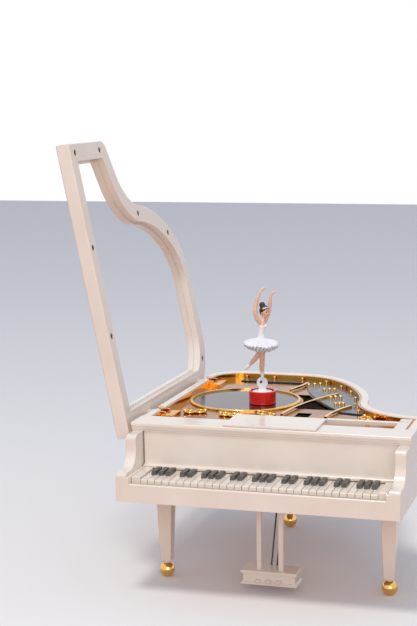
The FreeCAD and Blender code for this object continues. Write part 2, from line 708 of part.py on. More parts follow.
def desk_bracket_spans():
    left, right = desk_tabs()
    return [(left + DESK_TAB + MOVING_GAP, left + 2 * DESK_TAB),
            (right - DESK_TAB, right - MOVING_GAP)]


def desk_brackets():
    brackets = []
    for x0, x1 in desk_bracket_spans():
        bar = box(x0, x1, DECK_REAR, DESK_PIN_Y, DESK_PIN_Z - DESK_EYE_R, DESK_PIN_Z + DESK_EYE_R)
        eye = rod_x(x0, x1, DESK_PIN_Y, DESK_PIN_Z, DESK_EYE_R)
        bore = rod_x(x0 - 1, x1 + 1, DESK_PIN_Y, DESK_PIN_Z, DESK_PIN_R + 0.02)
        brackets.append(cut(fuse([bar, eye]), [bore]))
    return group(brackets)


def desk_pins():
    left, right = desk_tabs()
    return [rod_x(left + 0.3, left + 2 * DESK_TAB, DESK_PIN_Y, DESK_PIN_Z, DESK_PIN_R),
            rod_x(right - DESK_TAB, right + DESK_TAB - 0.3, DESK_PIN_Y, DESK_PIN_Z, DESK_PIN_R)]


def prop_stick():
    half = PROP_WIDTH / 2
    low = PROP_PIN_Z - PROP_HEIGHT / 2
    bar = box(PROP_TIP, PROP_PIN_X, PROP_Y - half, PROP_Y + half, low, low + PROP_HEIGHT)
    bar = soften(bar, 0.4, lambda edge: edge.BoundBox.XLength > 10 and
                 edge.BoundBox.ZMin > low + 1)
    eye = rod_y(PROP_PIN_X, PROP_Y - half, PROP_Y + half, PROP_PIN_Z, PROP_EYE_R)
    bore = rod_y(PROP_PIN_X, PROP_Y - half - 1, PROP_Y + half + 1, PROP_PIN_Z,
                 PROP_PIN_R + PIN_FIT)
    return cut(fuse([bar, eye]), [bore])


def prop_block():
    inner = HALF_WIDTH - LINING_INSET - LINING - FIT
    block = box(PROP_BLOCK_LEFT, inner, DECK_REAR + FIT, PROP_BLOCK_REAR, TRAY_TOP, RIM_TOP)
    block = soften(block, 0.4, lambda edge: level(edge, RIM_TOP))
    half = PROP_WIDTH / 2 + MOVING_GAP
    slot = box(PROP_BLOCK_LEFT - 1, PROP_PIN_X + PROP_EYE_R + MOVING_GAP, PROP_Y - half,
               PROP_Y + half, PROP_PIN_Z - PROP_EYE_R - MOVING_GAP, RIM_TOP + 1)
    bore = rod_y(PROP_PIN_X, PROP_Y - half - 2, PROP_Y + half + 2, PROP_PIN_Z, PROP_PIN_R + 0.02)
    return cut(block, [slot, bore])


def prop_pin():
    half = PROP_WIDTH / 2 + MOVING_GAP + 1.9
    return rod_y(PROP_PIN_X, PROP_Y - half, PROP_Y + half, PROP_PIN_Z, PROP_PIN_R)


# ---- lid, modelled shut and then opened ----
LID_SCREWS = [(LID_RIGHT - LID_SCREW_INSET, LID_FRONT + 8.0),
              (LID_RIGHT - LID_SCREW_INSET, LID_FRONT + 49.0),
              on_outline(LID_PLAN, LID_SCREW_INSET, WAIST, 0.1),
              on_outline(LID_PLAN, LID_SCREW_INSET, BENT_SIDE, 0.1),
              (27.0, LID_FRONT + 5.0), (-28.0, LID_FRONT + 5.0),
              on_outline(LID_PLAN, LID_SCREW_INSET, TAIL_CORNER, 0.64)]


def open_lid(shape):
    opened = shape.copy()
    opened.rotate(Vector(LID_HINGE_X, 0, HINGE_Z), ALONG_Y, -LID_OPEN)
    return opened


def lid_window(rail, z0, z1):
    extra = rail - LID_RAIL
    face = LID_PLAN.face(rail, LID_FRONT + LID_FRONT_RAIL + extra, LID_LEFT + LID_HINGE_RAIL + extra)
    return slab(face, z0, z1)


def lid_outer_frame():
    frame = slab(LID_PLAN.face(), LID_MID, LID_TOP)
    frame = soften(frame, LID_EDGE_R, lambda edge: level(edge, LID_TOP))
    window = lid_window(LID_RAIL + LID_LEDGE, LID_MID - 1, LID_TOP + 1)
    frame = cut(frame, [window])
    inner_edge = LID_RAIL + LID_LEDGE
    frame = soften(frame, LID_EDGE_R / 2, lambda edge: level(edge, LID_TOP)
                   and edge.BoundBox.YMin > LID_FRONT + inner_edge - 4
                   and edge.BoundBox.XMin > LID_LEFT + inner_edge - 1
                   and edge.BoundBox.XMax < LID_RIGHT - inner_edge + 1)
    holes = [rod(x, y, LID_MID - 1, LID_TOP - 1.8, SCREW_SHANK_R + 0.02) for x, y in LID_SCREWS]
    return open_lid(cut(frame, holes))


def lid_inner_frame():
    frame = slab(LID_PLAN.face(0.3, LID_FRONT), LID_LOW, LID_MID)
    frame = soften(frame, 0.6, lambda edge: level(edge, LID_LOW))
    window = lid_window(LID_RAIL, LID_LOW - 1, LID_MID + 1)
    holes = []
    for x, y in LID_SCREWS:
        holes.append(rod(x, y, LID_LOW - 1, LID_MID + 1, SCREW_SHANK_R + 0.1))
        holes.append(rod(x, y, LID_LOW - 1, LID_LOW + SCREW_SINK + SCREW_HEAD_HEIGHT,
                         SCREW_HEAD_R + 0.15))
    return open_lid(cut(frame, [window] + holes))


def lid_screws():
    screws = []
    for x, y in LID_SCREWS:
        head_top = LID_LOW + SCREW_SINK + SCREW_HEAD_HEIGHT
        head = rod(x, y, LID_LOW + SCREW_SINK, head_top, SCREW_HEAD_R)
        shank = rod(x, y, head_top, LID_TOP - 2.4, SCREW_SHANK_R)
        slots = [box(x - 1.1, x + 1.1, y - 0.25, y + 0.25, LID_LOW, LID_LOW + SCREW_SINK + 0.5),
                 box(x - 0.25, x + 0.25, y - 1.1, y + 1.1, LID_LOW, LID_LOW + SCREW_SINK + 0.5)]
        screws.append(open_lid(cut(fuse([head, shank]), slots)))
    return group(screws)


def hinge_lugs():
    lugs = []
    for y in HINGE_YS:
        half = LUG_WIDTH / 2
        web = box(LID_HINGE_X - HINGE_EYE_R, LID_HINGE_X + HINGE_EYE_R, y - half, y + half,
                  HINGE_Z, LID_LOW)
        eye = rod_y(LID_HINGE_X, y - half, y + half, HINGE_Z, HINGE_EYE_R)
        bore = rod_y(LID_HINGE_X, y - half - 1, y + half + 1, HINGE_Z, HINGE_PIN_R + PIN_FIT)
        lugs.append(open_lid(cut(fuse([web, eye]), [bore])))
    return group(lugs)


def hinge_blocks():
    blocks = []
    inside = -HALF_WIDTH + LINING_INSET + LINING + FIT
    for y in HINGE_YS:
        body = box(inside, inside + HINGE_BLOCK_WIDTH, y - HINGE_BLOCK_LENGTH / 2,
                   y + HINGE_BLOCK_LENGTH / 2, TRAY_TOP, TRAY_TOP + HINGE_BLOCK_HEIGHT)
        body = soften(body, 0.4, lambda edge: level(edge, TRAY_TOP + HINGE_BLOCK_HEIGHT))
        parts = [body]
        for side in (-1, 1):
            near = LUG_WIDTH / 2 + MOVING_GAP
            y0, y1 = sorted((y + side * near, y + side * (near + EAR_WIDTH)))
            parts.append(box(LID_HINGE_X, inside + 2, y0, y1, TRAY_TOP,
                             HINGE_Z + HINGE_EYE_R - 0.2))
            parts.append(rod_y(LID_HINGE_X, y0, y1, HINGE_Z, HINGE_EYE_R))
        bore = rod_y(LID_HINGE_X, y - 9, y + 9, HINGE_Z, HINGE_PIN_R + 0.02)
        lug_room = box(LID_HINGE_X - 4, LID_HINGE_X + HINGE_EYE_R + MOVING_GAP,
                       y - LUG_WIDTH / 2 - MOVING_GAP, y + LUG_WIDTH / 2 + MOVING_GAP,
                       TRAY_TOP - 1, RIM_TOP)
        blocks.append(cut(fuse(parts), [bore, lug_room]))
    return group(blocks)


def hinge_pins():
    half = LUG_WIDTH / 2 + MOVING_GAP + EAR_WIDTH
    return group([rod_y(LID_HINGE_X, y - half, y + half, HINGE_Z, HINGE_PIN_R)
                  for y in HINGE_YS])


# ---- legs and lyre ----
def leg(x, y):
    low = BALL_TOP + LEG_NECK_HEIGHT
    rings = []
    for size, z in ((LEG_BOTTOM, low), (LEG_TOP, CASE_FLOOR)):
        half = size / 2
        rings.append(Part.makePolygon([Vector(x + a * half, y + b * half, z) for a, b in
                                       ((-1, -1), (1, -1), (1, 1), (-1, 1), (-1, -1))]))
    shaft = Part.makeLoft(rings, True, True)
    shaft = soften(shaft, 0.5, lambda edge: edge.BoundBox.ZLength > 10)
    neck = rod(x, y, BALL_TOP, low + 0.5, LEG_NECK_R)
    screw_hole = rod(x, y, CASE_FLOOR - LEG_SCREW_DEPTH - 1, CASE_FLOOR + 1, LEG_SCREW_R + 0.02)
    stem_hole = rod(x, y, BALL_TOP - 1, BALL_TOP + BALL_STEM_LENGTH + 0.5, BALL_STEM_R + 0.02)
    return cut(fuse([shaft, neck]), [screw_hole, stem_hole])


def leg_screws():
    screws = []
    for name, x, y in leg_places():
        head = rod(x, y, FLOOR_TOP, FLOOR_TOP + 1.5, 2.4)
        shank = rod(x, y, CASE_FLOOR - LEG_SCREW_DEPTH, FLOOR_TOP + 0.2, LEG_SCREW_R)
        screws.append(fuse([head, shank]))
    return group(screws)


def ball_foot(x, y):
    ball = Part.makeSphere(BALL_R, Vector(x, y, BALL_CENTRE))
    kept = ball.common(box(x - 10, x + 10, y - 10, y + 10, 0, BALL_TOP))
    stem = rod(x, y, BALL_TOP - 0.5, BALL_TOP + BALL_STEM_LENGTH, BALL_STEM_R)
    return fuse([kept, stem])


def lyre_posts():
    posts = []
    for side in (-1, 1):
        x = side * LYRE_SPACING / 2
        post = box(x - LYRE_POST / 2, x + LYRE_POST / 2, LYRE_POST_FRONT,
                   LYRE_POST_FRONT + LYRE_POST, PEDAL_BOX_TOP, CASE_FLOOR)
        posts.append(soften(post, 0.4, lambda edge: edge.BoundBox.ZLength > 10))
    return group(posts)


def pedal_box():
    half = PEDAL_BOX_HALF
    inset = PEDAL_INSET
    top = box(-half, half, PEDAL_BOX_FRONT, PEDAL_BOX_REAR, PEDAL_BOX_TOP - PEDAL_MOULDING,
              PEDAL_BOX_TOP)
    top = soften(top, 0.5, lambda edge: level(edge, PEDAL_BOX_TOP))
    middle = box(-half + inset, half - inset, PEDAL_BOX_FRONT + inset, PEDAL_BOX_REAR - inset,
                 PEDAL_BOX_LOW, PEDAL_BOX_TOP - 0.5)
    foot = box(-half, half, PEDAL_BOX_FRONT, PEDAL_BOX_REAR, PEDAL_BOX_LOW,
               PEDAL_BOX_LOW + PEDAL_MOULDING)
    foot = foot.makeChamfer(0.9, [edge for edge in foot.Edges
                                  if level(edge, PEDAL_BOX_LOW + PEDAL_MOULDING)])
    return fuse([top, middle, foot])


def pedals():
    made = []
    back = PEDAL_BOX_FRONT + PEDAL_INSET
    z = PEDAL_BOX_LOW + PEDAL_MOULDING + 0.5
    for index in (-1, 0, 1):
        x = index * PEDAL_SPACING
        tongue = box(x - PEDAL_WIDTH / 2, x + PEDAL_WIDTH / 2, back - PEDAL_REACH, back, z,
                     z + PEDAL_THICKNESS)
        tongue = soften(tongue, 0.9, lambda edge: edge.BoundBox.ZLength > 1
                        and edge.BoundBox.YMax < back - 1)
        made.append(tongue)
    return group(made)


def brace_rods():
    rods = []
    foot_y = PEDAL_BOX_REAR - 2.0
    for side in (-1, 1):
        x = side * ROD_SPACING / 2
        foot = Vector(x, foot_y, PEDAL_BOX_TOP - 2.0)
        head = Vector(x, ROD_TOP_Y, CASE_FLOOR + 2.0)
        bar = Part.makeCylinder(ROD_R, (head - foot).Length, foot, head - foot)
        between = box(-PEDAL_BOX_HALF, PEDAL_BOX_HALF, 0, 2 * ROD_TOP_Y, PEDAL_BOX_TOP, CASE_FLOOR)
        rods.append(bar.common(between))
    return group([rod_shape.Solids[0] for rod_shape in rods])


# ---- gilded inside ----
def rim_lining():
    """A gilt strip round the inside of the rim, open where the deck closes the front."""
    low = TRAY_TOP
    top = RIM_TOP - LINING_DROP
    front = DECK_REAR + FIT
    outer = slab(CASE_PLAN.face(LINING_INSET, front), low, top)
    inner = slab(CASE_PLAN.face(LINING_INSET + LINING, front - 1), low - 1, top + 1)
    return cut(cut(outer, [inner]), [hinge_notch(y) for y in HINGE_YS])


def tray_floor():
    floor = slab(CASE_PLAN.face(LINING_INSET, DECK_REAR + FIT), TRAY_LOW, TRAY_TOP)
    stage_hole = rod(STAGE_X, STAGE_Y, TRAY_LOW - 1, TRAY_TOP + 1, RING_R - RING_RISE + FIT)
    left = STAGE_X + SOUND_HOLE_RIGHT
    rear = STAGE_Y - SOUND_HOLE_AHEAD
    sound_hole = box(left, left + SOUND_HOLE_WIDTH, rear - SOUND_HOLE_DEPTH, rear, TRAY_LOW - 1,
                     TRAY_TOP + 1)
    return cut(floor, [stage_hole, sound_hole, sound_pocket()])


def sound_pocket():
    """The curved slot between the stage ring and the harp plate."""
    room = box(STAGE_X, HARP_FOOT[0], STAGE_Y - 17, STAGE_Y + 27, TRAY_LOW - 1, TRAY_TOP + 1)
    ring_land = rod(STAGE_X, STAGE_Y, TRAY_LOW - 2, TRAY_TOP + 2, RING_R + 1.2)
    harp_land = slab(harp_side_face(-1.2), TRAY_LOW - 2, TRAY_TOP + 2)
    return cut(room, [ring_land, harp_land])


def stage_ring():
    top = MIRROR_TOP + RING_RISE
    flange = rod(STAGE_X, STAGE_Y, TRAY_TOP, top, RING_R)
    flange = soften(flange, 0.8, lambda edge: level(edge, top))
    skirt = rod(STAGE_X, STAGE_Y, TRAY_TOP - RING_SKIRT, TRAY_TOP, RING_R - RING_RISE)
    well = rod(STAGE_X, STAGE_Y, TRAY_TOP - RING_SKIRT - 1, top + 1, WELL_R)
    seat = rod(STAGE_X, STAGE_Y, STAGE_UNDER, top + 1, MIRROR_R + FIT)
    return cut(fuse([flange, skirt]), [well, seat])


def mirror_disc():
    return rod(STAGE_X, STAGE_Y, STAGE_UNDER, MIRROR_TOP, MIRROR_R)


def from_stage(*offsets):
    """Points given as steps to the right of and behind the stage centre."""
    return [(STAGE_X + right, STAGE_Y + back) for right, back in offsets]


HARP_EDGE = from_stage((28.0, 55.5), (47.0, 9.5), (70.0, -24.5))
HARP_FOOT = from_stage((102.0, -31.5))[0]


def harp_side_face(shift=0.0):
    """Everything on the treble side of the harp plate's curved edge."""
    start, middle, end = [(x + shift, y, 0) for x, y in HARP_EDGE]
    foot = (HARP_FOOT[0], HARP_FOOT[1], 0)
    far = CASE_SIDE_END + 40
    return Part.Face(Part.Wire([
        arc(start, middle, end), line(end, foot), line(foot, (foot[0], far, 0)),
        line((foot[0], far, 0), (start[0], far, 0)), line((start[0], far, 0), start),
    ]))


def harp_plate():
    far = CASE_SIDE_END + 40
    inner = CASE_PLAN.face(LINING_INSET + LINING + FIT, DECK_REAR)
    tail = polygon_face([(HARP_TAIL_LEFT, HARP_TAIL_FRONT, 0), (0, HARP_TAIL_FRONT, 0),
                         (0, far, 0), (HARP_TAIL_LEFT, far, 0)])
    region = fuse([slab(harp_side_face(), TRAY_TOP, HARP_TOP), slab(tail, TRAY_TOP, HARP_TOP)])
    return region.common(slab(inner, TRAY_TOP, HARP_TOP)).Solids[0]


TUNING_STARTS = from_stage((30.0, 55.0), (44.0, 41.0), (54.0, 16.0), (61.4, -3.0))
TUNING_STEPS = [(3.4, 2.4), (3.4, 1.0), (3.0, 1.4), (2.4, 0.5)]
PINS_PER_ROW = 3


def round_head(x, y, radius, height):
    stem = rod(x, y, HARP_TOP, HARP_TOP + height, radius)
    return soften(stem, radius * 0.6, lambda edge: level(edge, HARP_TOP + height))


def tuning_pins():
    heads = []
    for (x, y), (step_x, step_y) in zip(TUNING_STARTS, TUNING_STEPS):
        for index in range(PINS_PER_ROW):
            heads.append(round_head(x + index * step_x, y + index * step_y, PIN_HEAD_R,
                                    PIN_HEAD_HEIGHT))
    return group(heads)


def plate_studs():
    """A row of studs that follows the rim round the tail and down the bent side."""
    path = CASE_PLAN.start(STUD_INSET, ARM_LENGTH)
    run = Part.Wire(path.edges[2:])
    return group([round_head(point.x, point.y, STUD_R, STUD_HEIGHT)
                  for point in run.discretize(STUD_COUNT)])


STRUT_ARCS = [from_stage((22.0, 35.0), (25.5, 48.0), (28.0, 62.0)),
              from_stage((35.5, -43.0), (40.5, -11.0), (56.0, 28.0)),
              from_stage((64.0, -45.0), (66.5, -25.0), (72.5, -8.0))]


def arc_band(points, width, z0, z1):
    """A bar of even width along an arc through three points."""
    circle = Part.Arc(*[Vector(x, y, 0) for x, y in points]).toShape().Curve
    centre = circle.Center
    radius = circle.Radius
    sides = []
    for offset in (-width / 2, width / 2):
        scale = (radius + offset) / radius
        sides.append([centre + (Vector(x, y, 0) - centre) * scale for x, y in points])
    low, high = sides
    face = Part.Face(Part.Wire([
        Part.Arc(*low).toShape(), Part.LineSegment(low[2], high[2]).toShape(),
        Part.Arc(high[2], high[1], high[0]).toShape(), Part.LineSegment(high[0], low[0]).toShape(),
    ]))
    return slab(face, z0, z1)


def harp_struts():
    struts = []
    for points in STRUT_ARCS:
        bar = arc_band(points, STRUT_WIDTH, HARP_TOP, HARP_TOP + STRUT_HEIGHT)
        x, y = points[0]
        foot = rod(x, y + 1.5, TRAY_TOP, HARP_TOP + 0.5, 1.1)
        struts.append(fuse([bar, foot]))
    return group(struts)


SCROLL_PLACES = from_stage((-21.0, -44.0), (3.0, -48.0), (25.0, -40.5), (89.0, -41.0))
SCROLL_ANGLES = (20.0, -10.0, -30.0, -70.0)


def scroll(x, y, angle):
    """Two curls that lean away from each other on a small cross bar."""
    z = TRAY_TOP + SCROLL_WIRE_R
    parts = [rod(0, 0, TRAY_TOP, z + SCROLL_WIRE_R, SCROLL_WIRE_R)]
    for side in (-1, 1):
        curl = Part.makeTorus(SCROLL_R, SCROLL_WIRE_R, Vector(side * SCROLL_R, 0, z), UP)
        parts.append(curl)
        parts.append(Part.makeSphere(1.3, Vector(side * SCROLL_R * 2, 0, TRAY_TOP + 1.35)))
    shape = fuse(parts)
    shape.rotate(Vector(0, 0, 0), UP, angle)
    shape.translate(Vector(x, y, 0))
    return shape


def scroll_ornaments():
    return group([scroll(x, y, angle) for (x, y), angle in zip(SCROLL_PLACES, SCROLL_ANGLES)])


# ---- dancer ----
def stand_up(shape):
    """Turns a figure modelled about the origin to face, and puts it on the pot."""
    placed = shape.copy()
    placed.rotate(Vector(0, 0, 0), UP, DANCER_FACING)
    placed.translate(Vector(PLANET_X, PLANET_Y, 0))
    return placed


def taper(a, b, radius_a, radius_b):
    start = Vector(*a)
    run = Vector(*b) - start
    if abs(radius_a - radius_b) < 0.001:
        return Part.makeCylinder(radius_a, run.Length, start, run)
    return Part.makeCone(radius_a, radius_b, run.Length, start, run)


def limb(joints):
    """Tapered lengths with a ball at every joint; joints hold x, y, z, radius."""
    parts = []
    for near, far in zip(joints, joints[1:]):
        parts.append(taper(near[:3], far[:3], near[3], far[3]))
    for x, y, z, radius in joints:
        parts.append(Part.makeSphere(radius * 1.002, Vector(x, y, z)))
    return parts


LOOP_TOP = POT_TOP + LOOP_HEIGHT
HIP_Z = LOOP_TOP + 17.5
WAIST_Z = HIP_Z + 9.0
SHOULDER_Z = WAIST_Z + 7.0
HEAD_Z = SHOULDER_Z + 7.5
HAND_Z = HEAD_Z + 14.5
STANDING_LEG = [(0.0, 0.0, LOOP_TOP - 0.6, 1.0), (-0.2, 0.0, LOOP_TOP + 4.6, 1.8),
                (0.0, 0.0, LOOP_TOP + 8.8, 1.7), (-0.3, 0.0, HIP_Z, 2.5)]
RAISED_LEG = [(-0.6, 1.0, HIP_Z, 2.2), (-3.2, 1.4, HIP_Z - 5.4, 1.6),
              (-5.6, 1.6, HIP_Z - 8.2, 1.6), (-8.0, 1.6, HIP_Z - 10.9, 1.0),
              (-11.3, 1.6, HIP_Z - 14.4, 0.7)]
NEAR_ARM = [(-1.6, -2.2, SHOULDER_Z + 0.8, 1.7), (-4.6, -3.4, SHOULDER_Z + 8.6, 1.5),
            (-3.0, -2.8, SHOULDER_Z + 16.4, 1.1), (-0.6, -2.2, HAND_Z - 0.4, 0.8),
            (2.8, -1.8, HAND_Z + 1.2, 0.6)]
FAR_ARM = [(1.8, 2.4, SHOULDER_Z + 0.8, 1.6), (5.0, 3.9, SHOULDER_Z + 7.6, 1.4),
           (5.5, 3.6, SHOULDER_Z + 14.0, 1.2), (6.3, 3.0, SHOULDER_Z + 18.4, 0.9),
           (9.2, 2.4, HAND_Z - 2.0, 0.6)]
TRUNK = [(-0.3, 0.0, HIP_Z, 2.8), (-0.5, 0.0, WAIST_Z, 2.3),
         (0.0, 0.0, SHOULDER_Z - 1.6, 3.1)]
HEAD_R = 3.0
HEAD_AT = Vector(1.6, 0, HEAD_Z)


def dancer_figure():
    parts = []
    for joints in (STANDING_LEG, RAISED_LEG, NEAR_ARM, FAR_ARM):
        parts += limb(joints)
    parts += limb(TRUNK)
    parts += limb([(-1.4, -1.8, SHOULDER_Z, 1.5), (1.6, 1.8, SHOULDER_Z, 1.5)])
    parts += limb([(0.4, 0.0, SHOULDER_Z, 1.2), (1.2, 0.0, HEAD_Z - 2.0, 1.1)])
    parts.append(Part.makeSphere(HEAD_R, HEAD_AT))
    return stand_up(fuse(parts))


def tutu():
    """A wide skirt of stiff net, hollow round the hips."""
    profile = [(3.0, HIP_Z + 6.6), (TUTU_R * 0.6, HIP_Z + 5.2), (TUTU_R, HIP_Z + 3.4),
               (TUTU_R, HIP_Z + 2.4), (TUTU_R * 0.6, HIP_Z - 0.6), (3.0, HIP_Z - 1.4)]
    face = polygon_face([(r, 0, z) for r, z in profile])
    skirt = face.revolve(Vector(0, 0, 0), UP, 360)
    bodies = [part for joints in (STANDING_LEG, RAISED_LEG) for part in limb(joints)]
    return stand_up(cut(skirt, bodies + limb(TRUNK)))


def hair():
    cap = Part.makeSphere(HEAD_R + 0.6, HEAD_AT + Vector(-0.5, 0.3, 0.5))
    face_cut = box(2.0, 9.0, -5, 5, HEAD_Z - 6, HEAD_Z + 1.7)
    neck_cut = box(-5, 9, -5, 5, HEAD_Z - 8, HEAD_Z - 1.6)
    bun = Part.makeSphere(2.0, HEAD_AT + Vector(-1.7, 0.3, 3.4))
    head = Part.makeSphere(HEAD_R, HEAD_AT)
    arms = [part for joints in (NEAR_ARM, FAR_ARM) for part in limb(joints)]
    return stand_up(cut(fuse([cut(cap, [face_cut, neck_cut]), bun]), [head] + arms))


def dancer_plinth():
    disc = rod(0, 0, POT_TOP - 2.2, POT_TOP - 0.4, POT_R - POT_WALL - FIT)
    half = LOOP_THICKNESS / 2
    wide = LOOP_WIDTH / 2
    eye_z = POT_TOP + 5.2
    loop = Part.makeCylinder(wide, LOOP_THICKNESS, Vector(0, half, eye_z), Vector(0, -1, 0))
    hole = Part.makeCylinder(1.1, LOOP_THICKNESS + 2, Vector(-1.0, half + 1, eye_z + 0.3),
                             Vector(0, -1, 0))
    stem = box(-2.4, 2.4, -half, half, POT_TOP - 1.0, POT_TOP + 3.0)
    neck = box(-1.0, 1.0, -half, half, eye_z + 2.6, LOOP_TOP)
    shape = cut(fuse([disc, loop, stem, neck]), [hole] + limb(STANDING_LEG))
    return stand_up(shape.Solids[0])


def pot():
    shell = rod(PLANET_X, PLANET_Y, POT_LOW, POT_TOP, POT_R)
    shell = soften(shell, 0.5, lambda edge: level(edge, POT_TOP) or level(edge, POT_LOW))
    cup = rod(PLANET_X, PLANET_Y, POT_LOW + POT_FLOOR, POT_TOP + 1, POT_R - POT_WALL)
    magnet_seat = rod(PLANET_X, PLANET_Y, POT_LOW - 1, POT_LOW + 2.0, MAGNET_R + FIT)
    return cut(shell, [cup, magnet_seat])


def pot_magnet():
    return rod(PLANET_X, PLANET_Y, POT_LOW, POT_LOW + 1.9, MAGNET_R)


# ---- movement ----
def bedplate():
    top = FLOOR_TOP + BEDPLATE_THICKNESS
    first = CYLINDER_GEAR_X + GEAR_FACE + 0.7
    last = first + 1.6 + CYLINDER_LENGTH
    plate = box(BARREL_X - 14, FAN_X + 5, BARREL_Y - 32, BARREL_Y + 9, FLOOR_TOP, top)
    parts = [plate]
    for x in (first, last):
        parts.append(box(x, x + 1.3, BARREL_Y - 4, BARREL_Y + 4, top - 1, CYLINDER_Z + 4))
    comb_low = CYLINDER_Z - 0.5
    parts.append(box(first, first + COMB_TEETH * COMB_PITCH + 1, BARREL_Y - 32, BARREL_Y - 23,
                     top - 1, comb_low))
    bores = [rod_x(first - 1, last + 3, BARREL_Y, CYLINDER_Z, 1.05),
             rod(BARREL_X, BARREL_Y, FLOOR_TOP - 1, top + 1, ARBOR_R + 0.6)]
    return cut(fuse(parts), bores)


def comb():
    left = CYLINDER_GEAR_X + GEAR_FACE + 1.2
    low = CYLINDER_Z - 0.5
    width = COMB_TEETH * COMB_PITCH
    parts = [box(left, left + width, BARREL_Y - 32, BARREL_Y - 22, low, low + 1.0)]
    for index in range(COMB_TEETH):
        x = left + index * COMB_PITCH
        parts.append(box(x, x + COMB_TOOTH, BARREL_Y - 22.5, BARREL_Y - CYLINDER_R - 0.9, low,
                         low + 1.0))
    return fuse(parts)


def comb_screws():
    left = CYLINDER_GEAR_X + GEAR_FACE + 1.2
    low = CYLINDER_Z + 0.5
    return group([rod(left + share * COMB_TEETH * COMB_PITCH, BARREL_Y - 28, low, low + 1.4, 2.0)
                  for share in (0.25, 0.75)])


def pinned_cylinder():
    x0 = CYLINDER_GEAR_X + GEAR_FACE + 2.3
    drum = rod_x(x0, x0 + CYLINDER_LENGTH, BARREL_Y, CYLINDER_Z, CYLINDER_R)
    shaft = rod_x(CYLINDER_GEAR_X - 0.2, x0 + CYLINDER_LENGTH + 3.0, BARREL_Y, CYLINDER_Z, 1.0)
    gear_shape = gear(0, 0, 0, CYLINDER_TEETH, CROWN_MODULE, GEAR_FACE, 0.9,
                      180.0 / CYLINDER_TEETH)
    gear_shape.rotate(Vector(0, 0, 0), ALONG_Y, 90)
    gear_shape.translate(Vector(CYLINDER_GEAR_X, BARREL_Y, CYLINDER_Z))
    pins = []
    for index in range(COMB_TEETH):
        for turn in (0, 1):
            angle = math.radians(index * 137.5 + turn * 180)
            x = x0 + 0.6 + index * COMB_PITCH
            direction = Vector(0, math.cos(angle), math.sin(angle))
            pins.append(Part.makeCylinder(0.25, CYLINDER_R + 0.5, Vector(x, BARREL_Y, CYLINDER_Z),
                                          direction))
    return fuse([drum, shaft, gear_shape] + pins)


def spring_barrel():
    flange = rod(BARREL_X, BARREL_Y, BARREL_LOW, CROWN_LOW, CROWN_R + 1.2)
    can = rod(BARREL_X, BARREL_Y, CROWN_LOW - 0.5, WHEEL_LOW - 0.6, BARREL_R)
    hub = rod(BARREL_X, BARREL_Y, WHEEL_LOW - 1.0, WHEEL_LOW + 0.5, 4.0)
    pinion = gear(BARREL_X, BARREL_Y, WHEEL_LOW, PINION_TEETH, GEAR_MODULE, WHEEL_THICKNESS,
                  ARBOR_R + PIN_FIT, 180.0 + 180.0 / PINION_TEETH)
    parts = [flange, can, hub, pinion]
    for index in range(CROWN_TEETH):
        tooth = box(CROWN_R - 1.0, CROWN_R + 1.0, -0.45, 0.45, CROWN_LOW - 0.5,
                    CROWN_LOW + CROWN_TALL)
        tooth.rotate(Vector(0, 0, 0), UP, 360.0 * index / CROWN_TEETH)
        tooth.translate(Vector(BARREL_X, BARREL_Y, 0))
        parts.append(tooth)
    bore = rod(BARREL_X, BARREL_Y, BARREL_LOW - 1, WHEEL_LOW + WHEEL_THICKNESS + 1,
               ARBOR_R + PIN_FIT)
    spring_room = rod(BARREL_X, BARREL_Y, CROWN_LOW, WHEEL_LOW - 2.5, BARREL_R - 0.8)
    return cut(fuse(parts), [bore, spring_room])


def mainspring():
    low = CROWN_LOW + 0.5
    high = WHEEL_LOW - 3.0
    turns = []
    for index in range(4):
        outer = ARBOR_R + 1.4 + index * 1.1
        turns.append(cut(rod(BARREL_X, BARREL_Y, low, high, outer),
                         [rod(BARREL_X, BARREL_Y, low - 1, high + 1, outer - 0.5)]))
    return group(turns)


def winding_key():
    arbor = rod(BARREL_X, BARREL_Y, CASE_FLOOR - 2, WHEEL_LOW + WHEEL_THICKNESS + 1, ARBOR_R)
    collar = rod(BARREL_X, BARREL_Y, CASE_FLOOR - 4, CASE_FLOOR - 1, ARBOR_R + 1.2)
    grip = box(BARREL_X - KEY_WING, BARREL_X + KEY_WING, BARREL_Y - 0.8, BARREL_Y + 0.8,
               CASE_FLOOR - KEY_DROP, CASE_FLOOR - 3)
    grip = soften(grip, 3.0, lambda edge: edge.BoundBox.YLength > 1 and
                  edge.BoundBox.ZLength < 0.01)
    return fuse([arbor, collar, grip])


def governor_housing():
    top = FLOOR_TOP + BEDPLATE_THICKNESS
    body = box(FAN_X - 5, FAN_X + 5, BARREL_Y - 7, BARREL_Y + 7, top, CYLINDER_Z + 4)
    body = soften(body, 0.8, lambda edge: edge.BoundBox.ZLength > 5)
    bore = rod(FAN_X, BARREL_Y, CYLINDER_Z - 1, CYLINDER_Z + 5, 0.85)
    shaft_room = rod_x(FAN_X - 6, FAN_X - 2, BARREL_Y, CYLINDER_Z, 1.05)
    return cut(body, [bore, shaft_room])


def governor_fan():
    low = CYLINDER_Z + 4
    shaft = rod(FAN_X, BARREL_Y, low - 3, low + 5, 0.8)
    blades = box(FAN_X - 4.5, FAN_X + 4.5, BARREL_Y - 0.4, BARREL_Y + 0.4, low + 1, low + 4.5)
    return fuse([shaft, blades])


def centre_post():
    base = rod(STAGE_X, STAGE_Y, FLOOR_TOP, FLOOR_TOP + 2, 8.0)
    column = rod(STAGE_X, STAGE_Y, FLOOR_TOP, WHEEL_LOW - MOVING_GAP, 4.0)
    spindle = rod(STAGE_X, STAGE_Y, WHEEL_LOW - 1, PLANET_LOW + 0.5, POST_R)
    sun = gear(STAGE_X, STAGE_Y, PLANET_LOW, SUN_TEETH, GEAR_MODULE, PLANET_THICKNESS, 1.0,
               ORBIT_START)
    return fuse([base, column, spindle, sun])


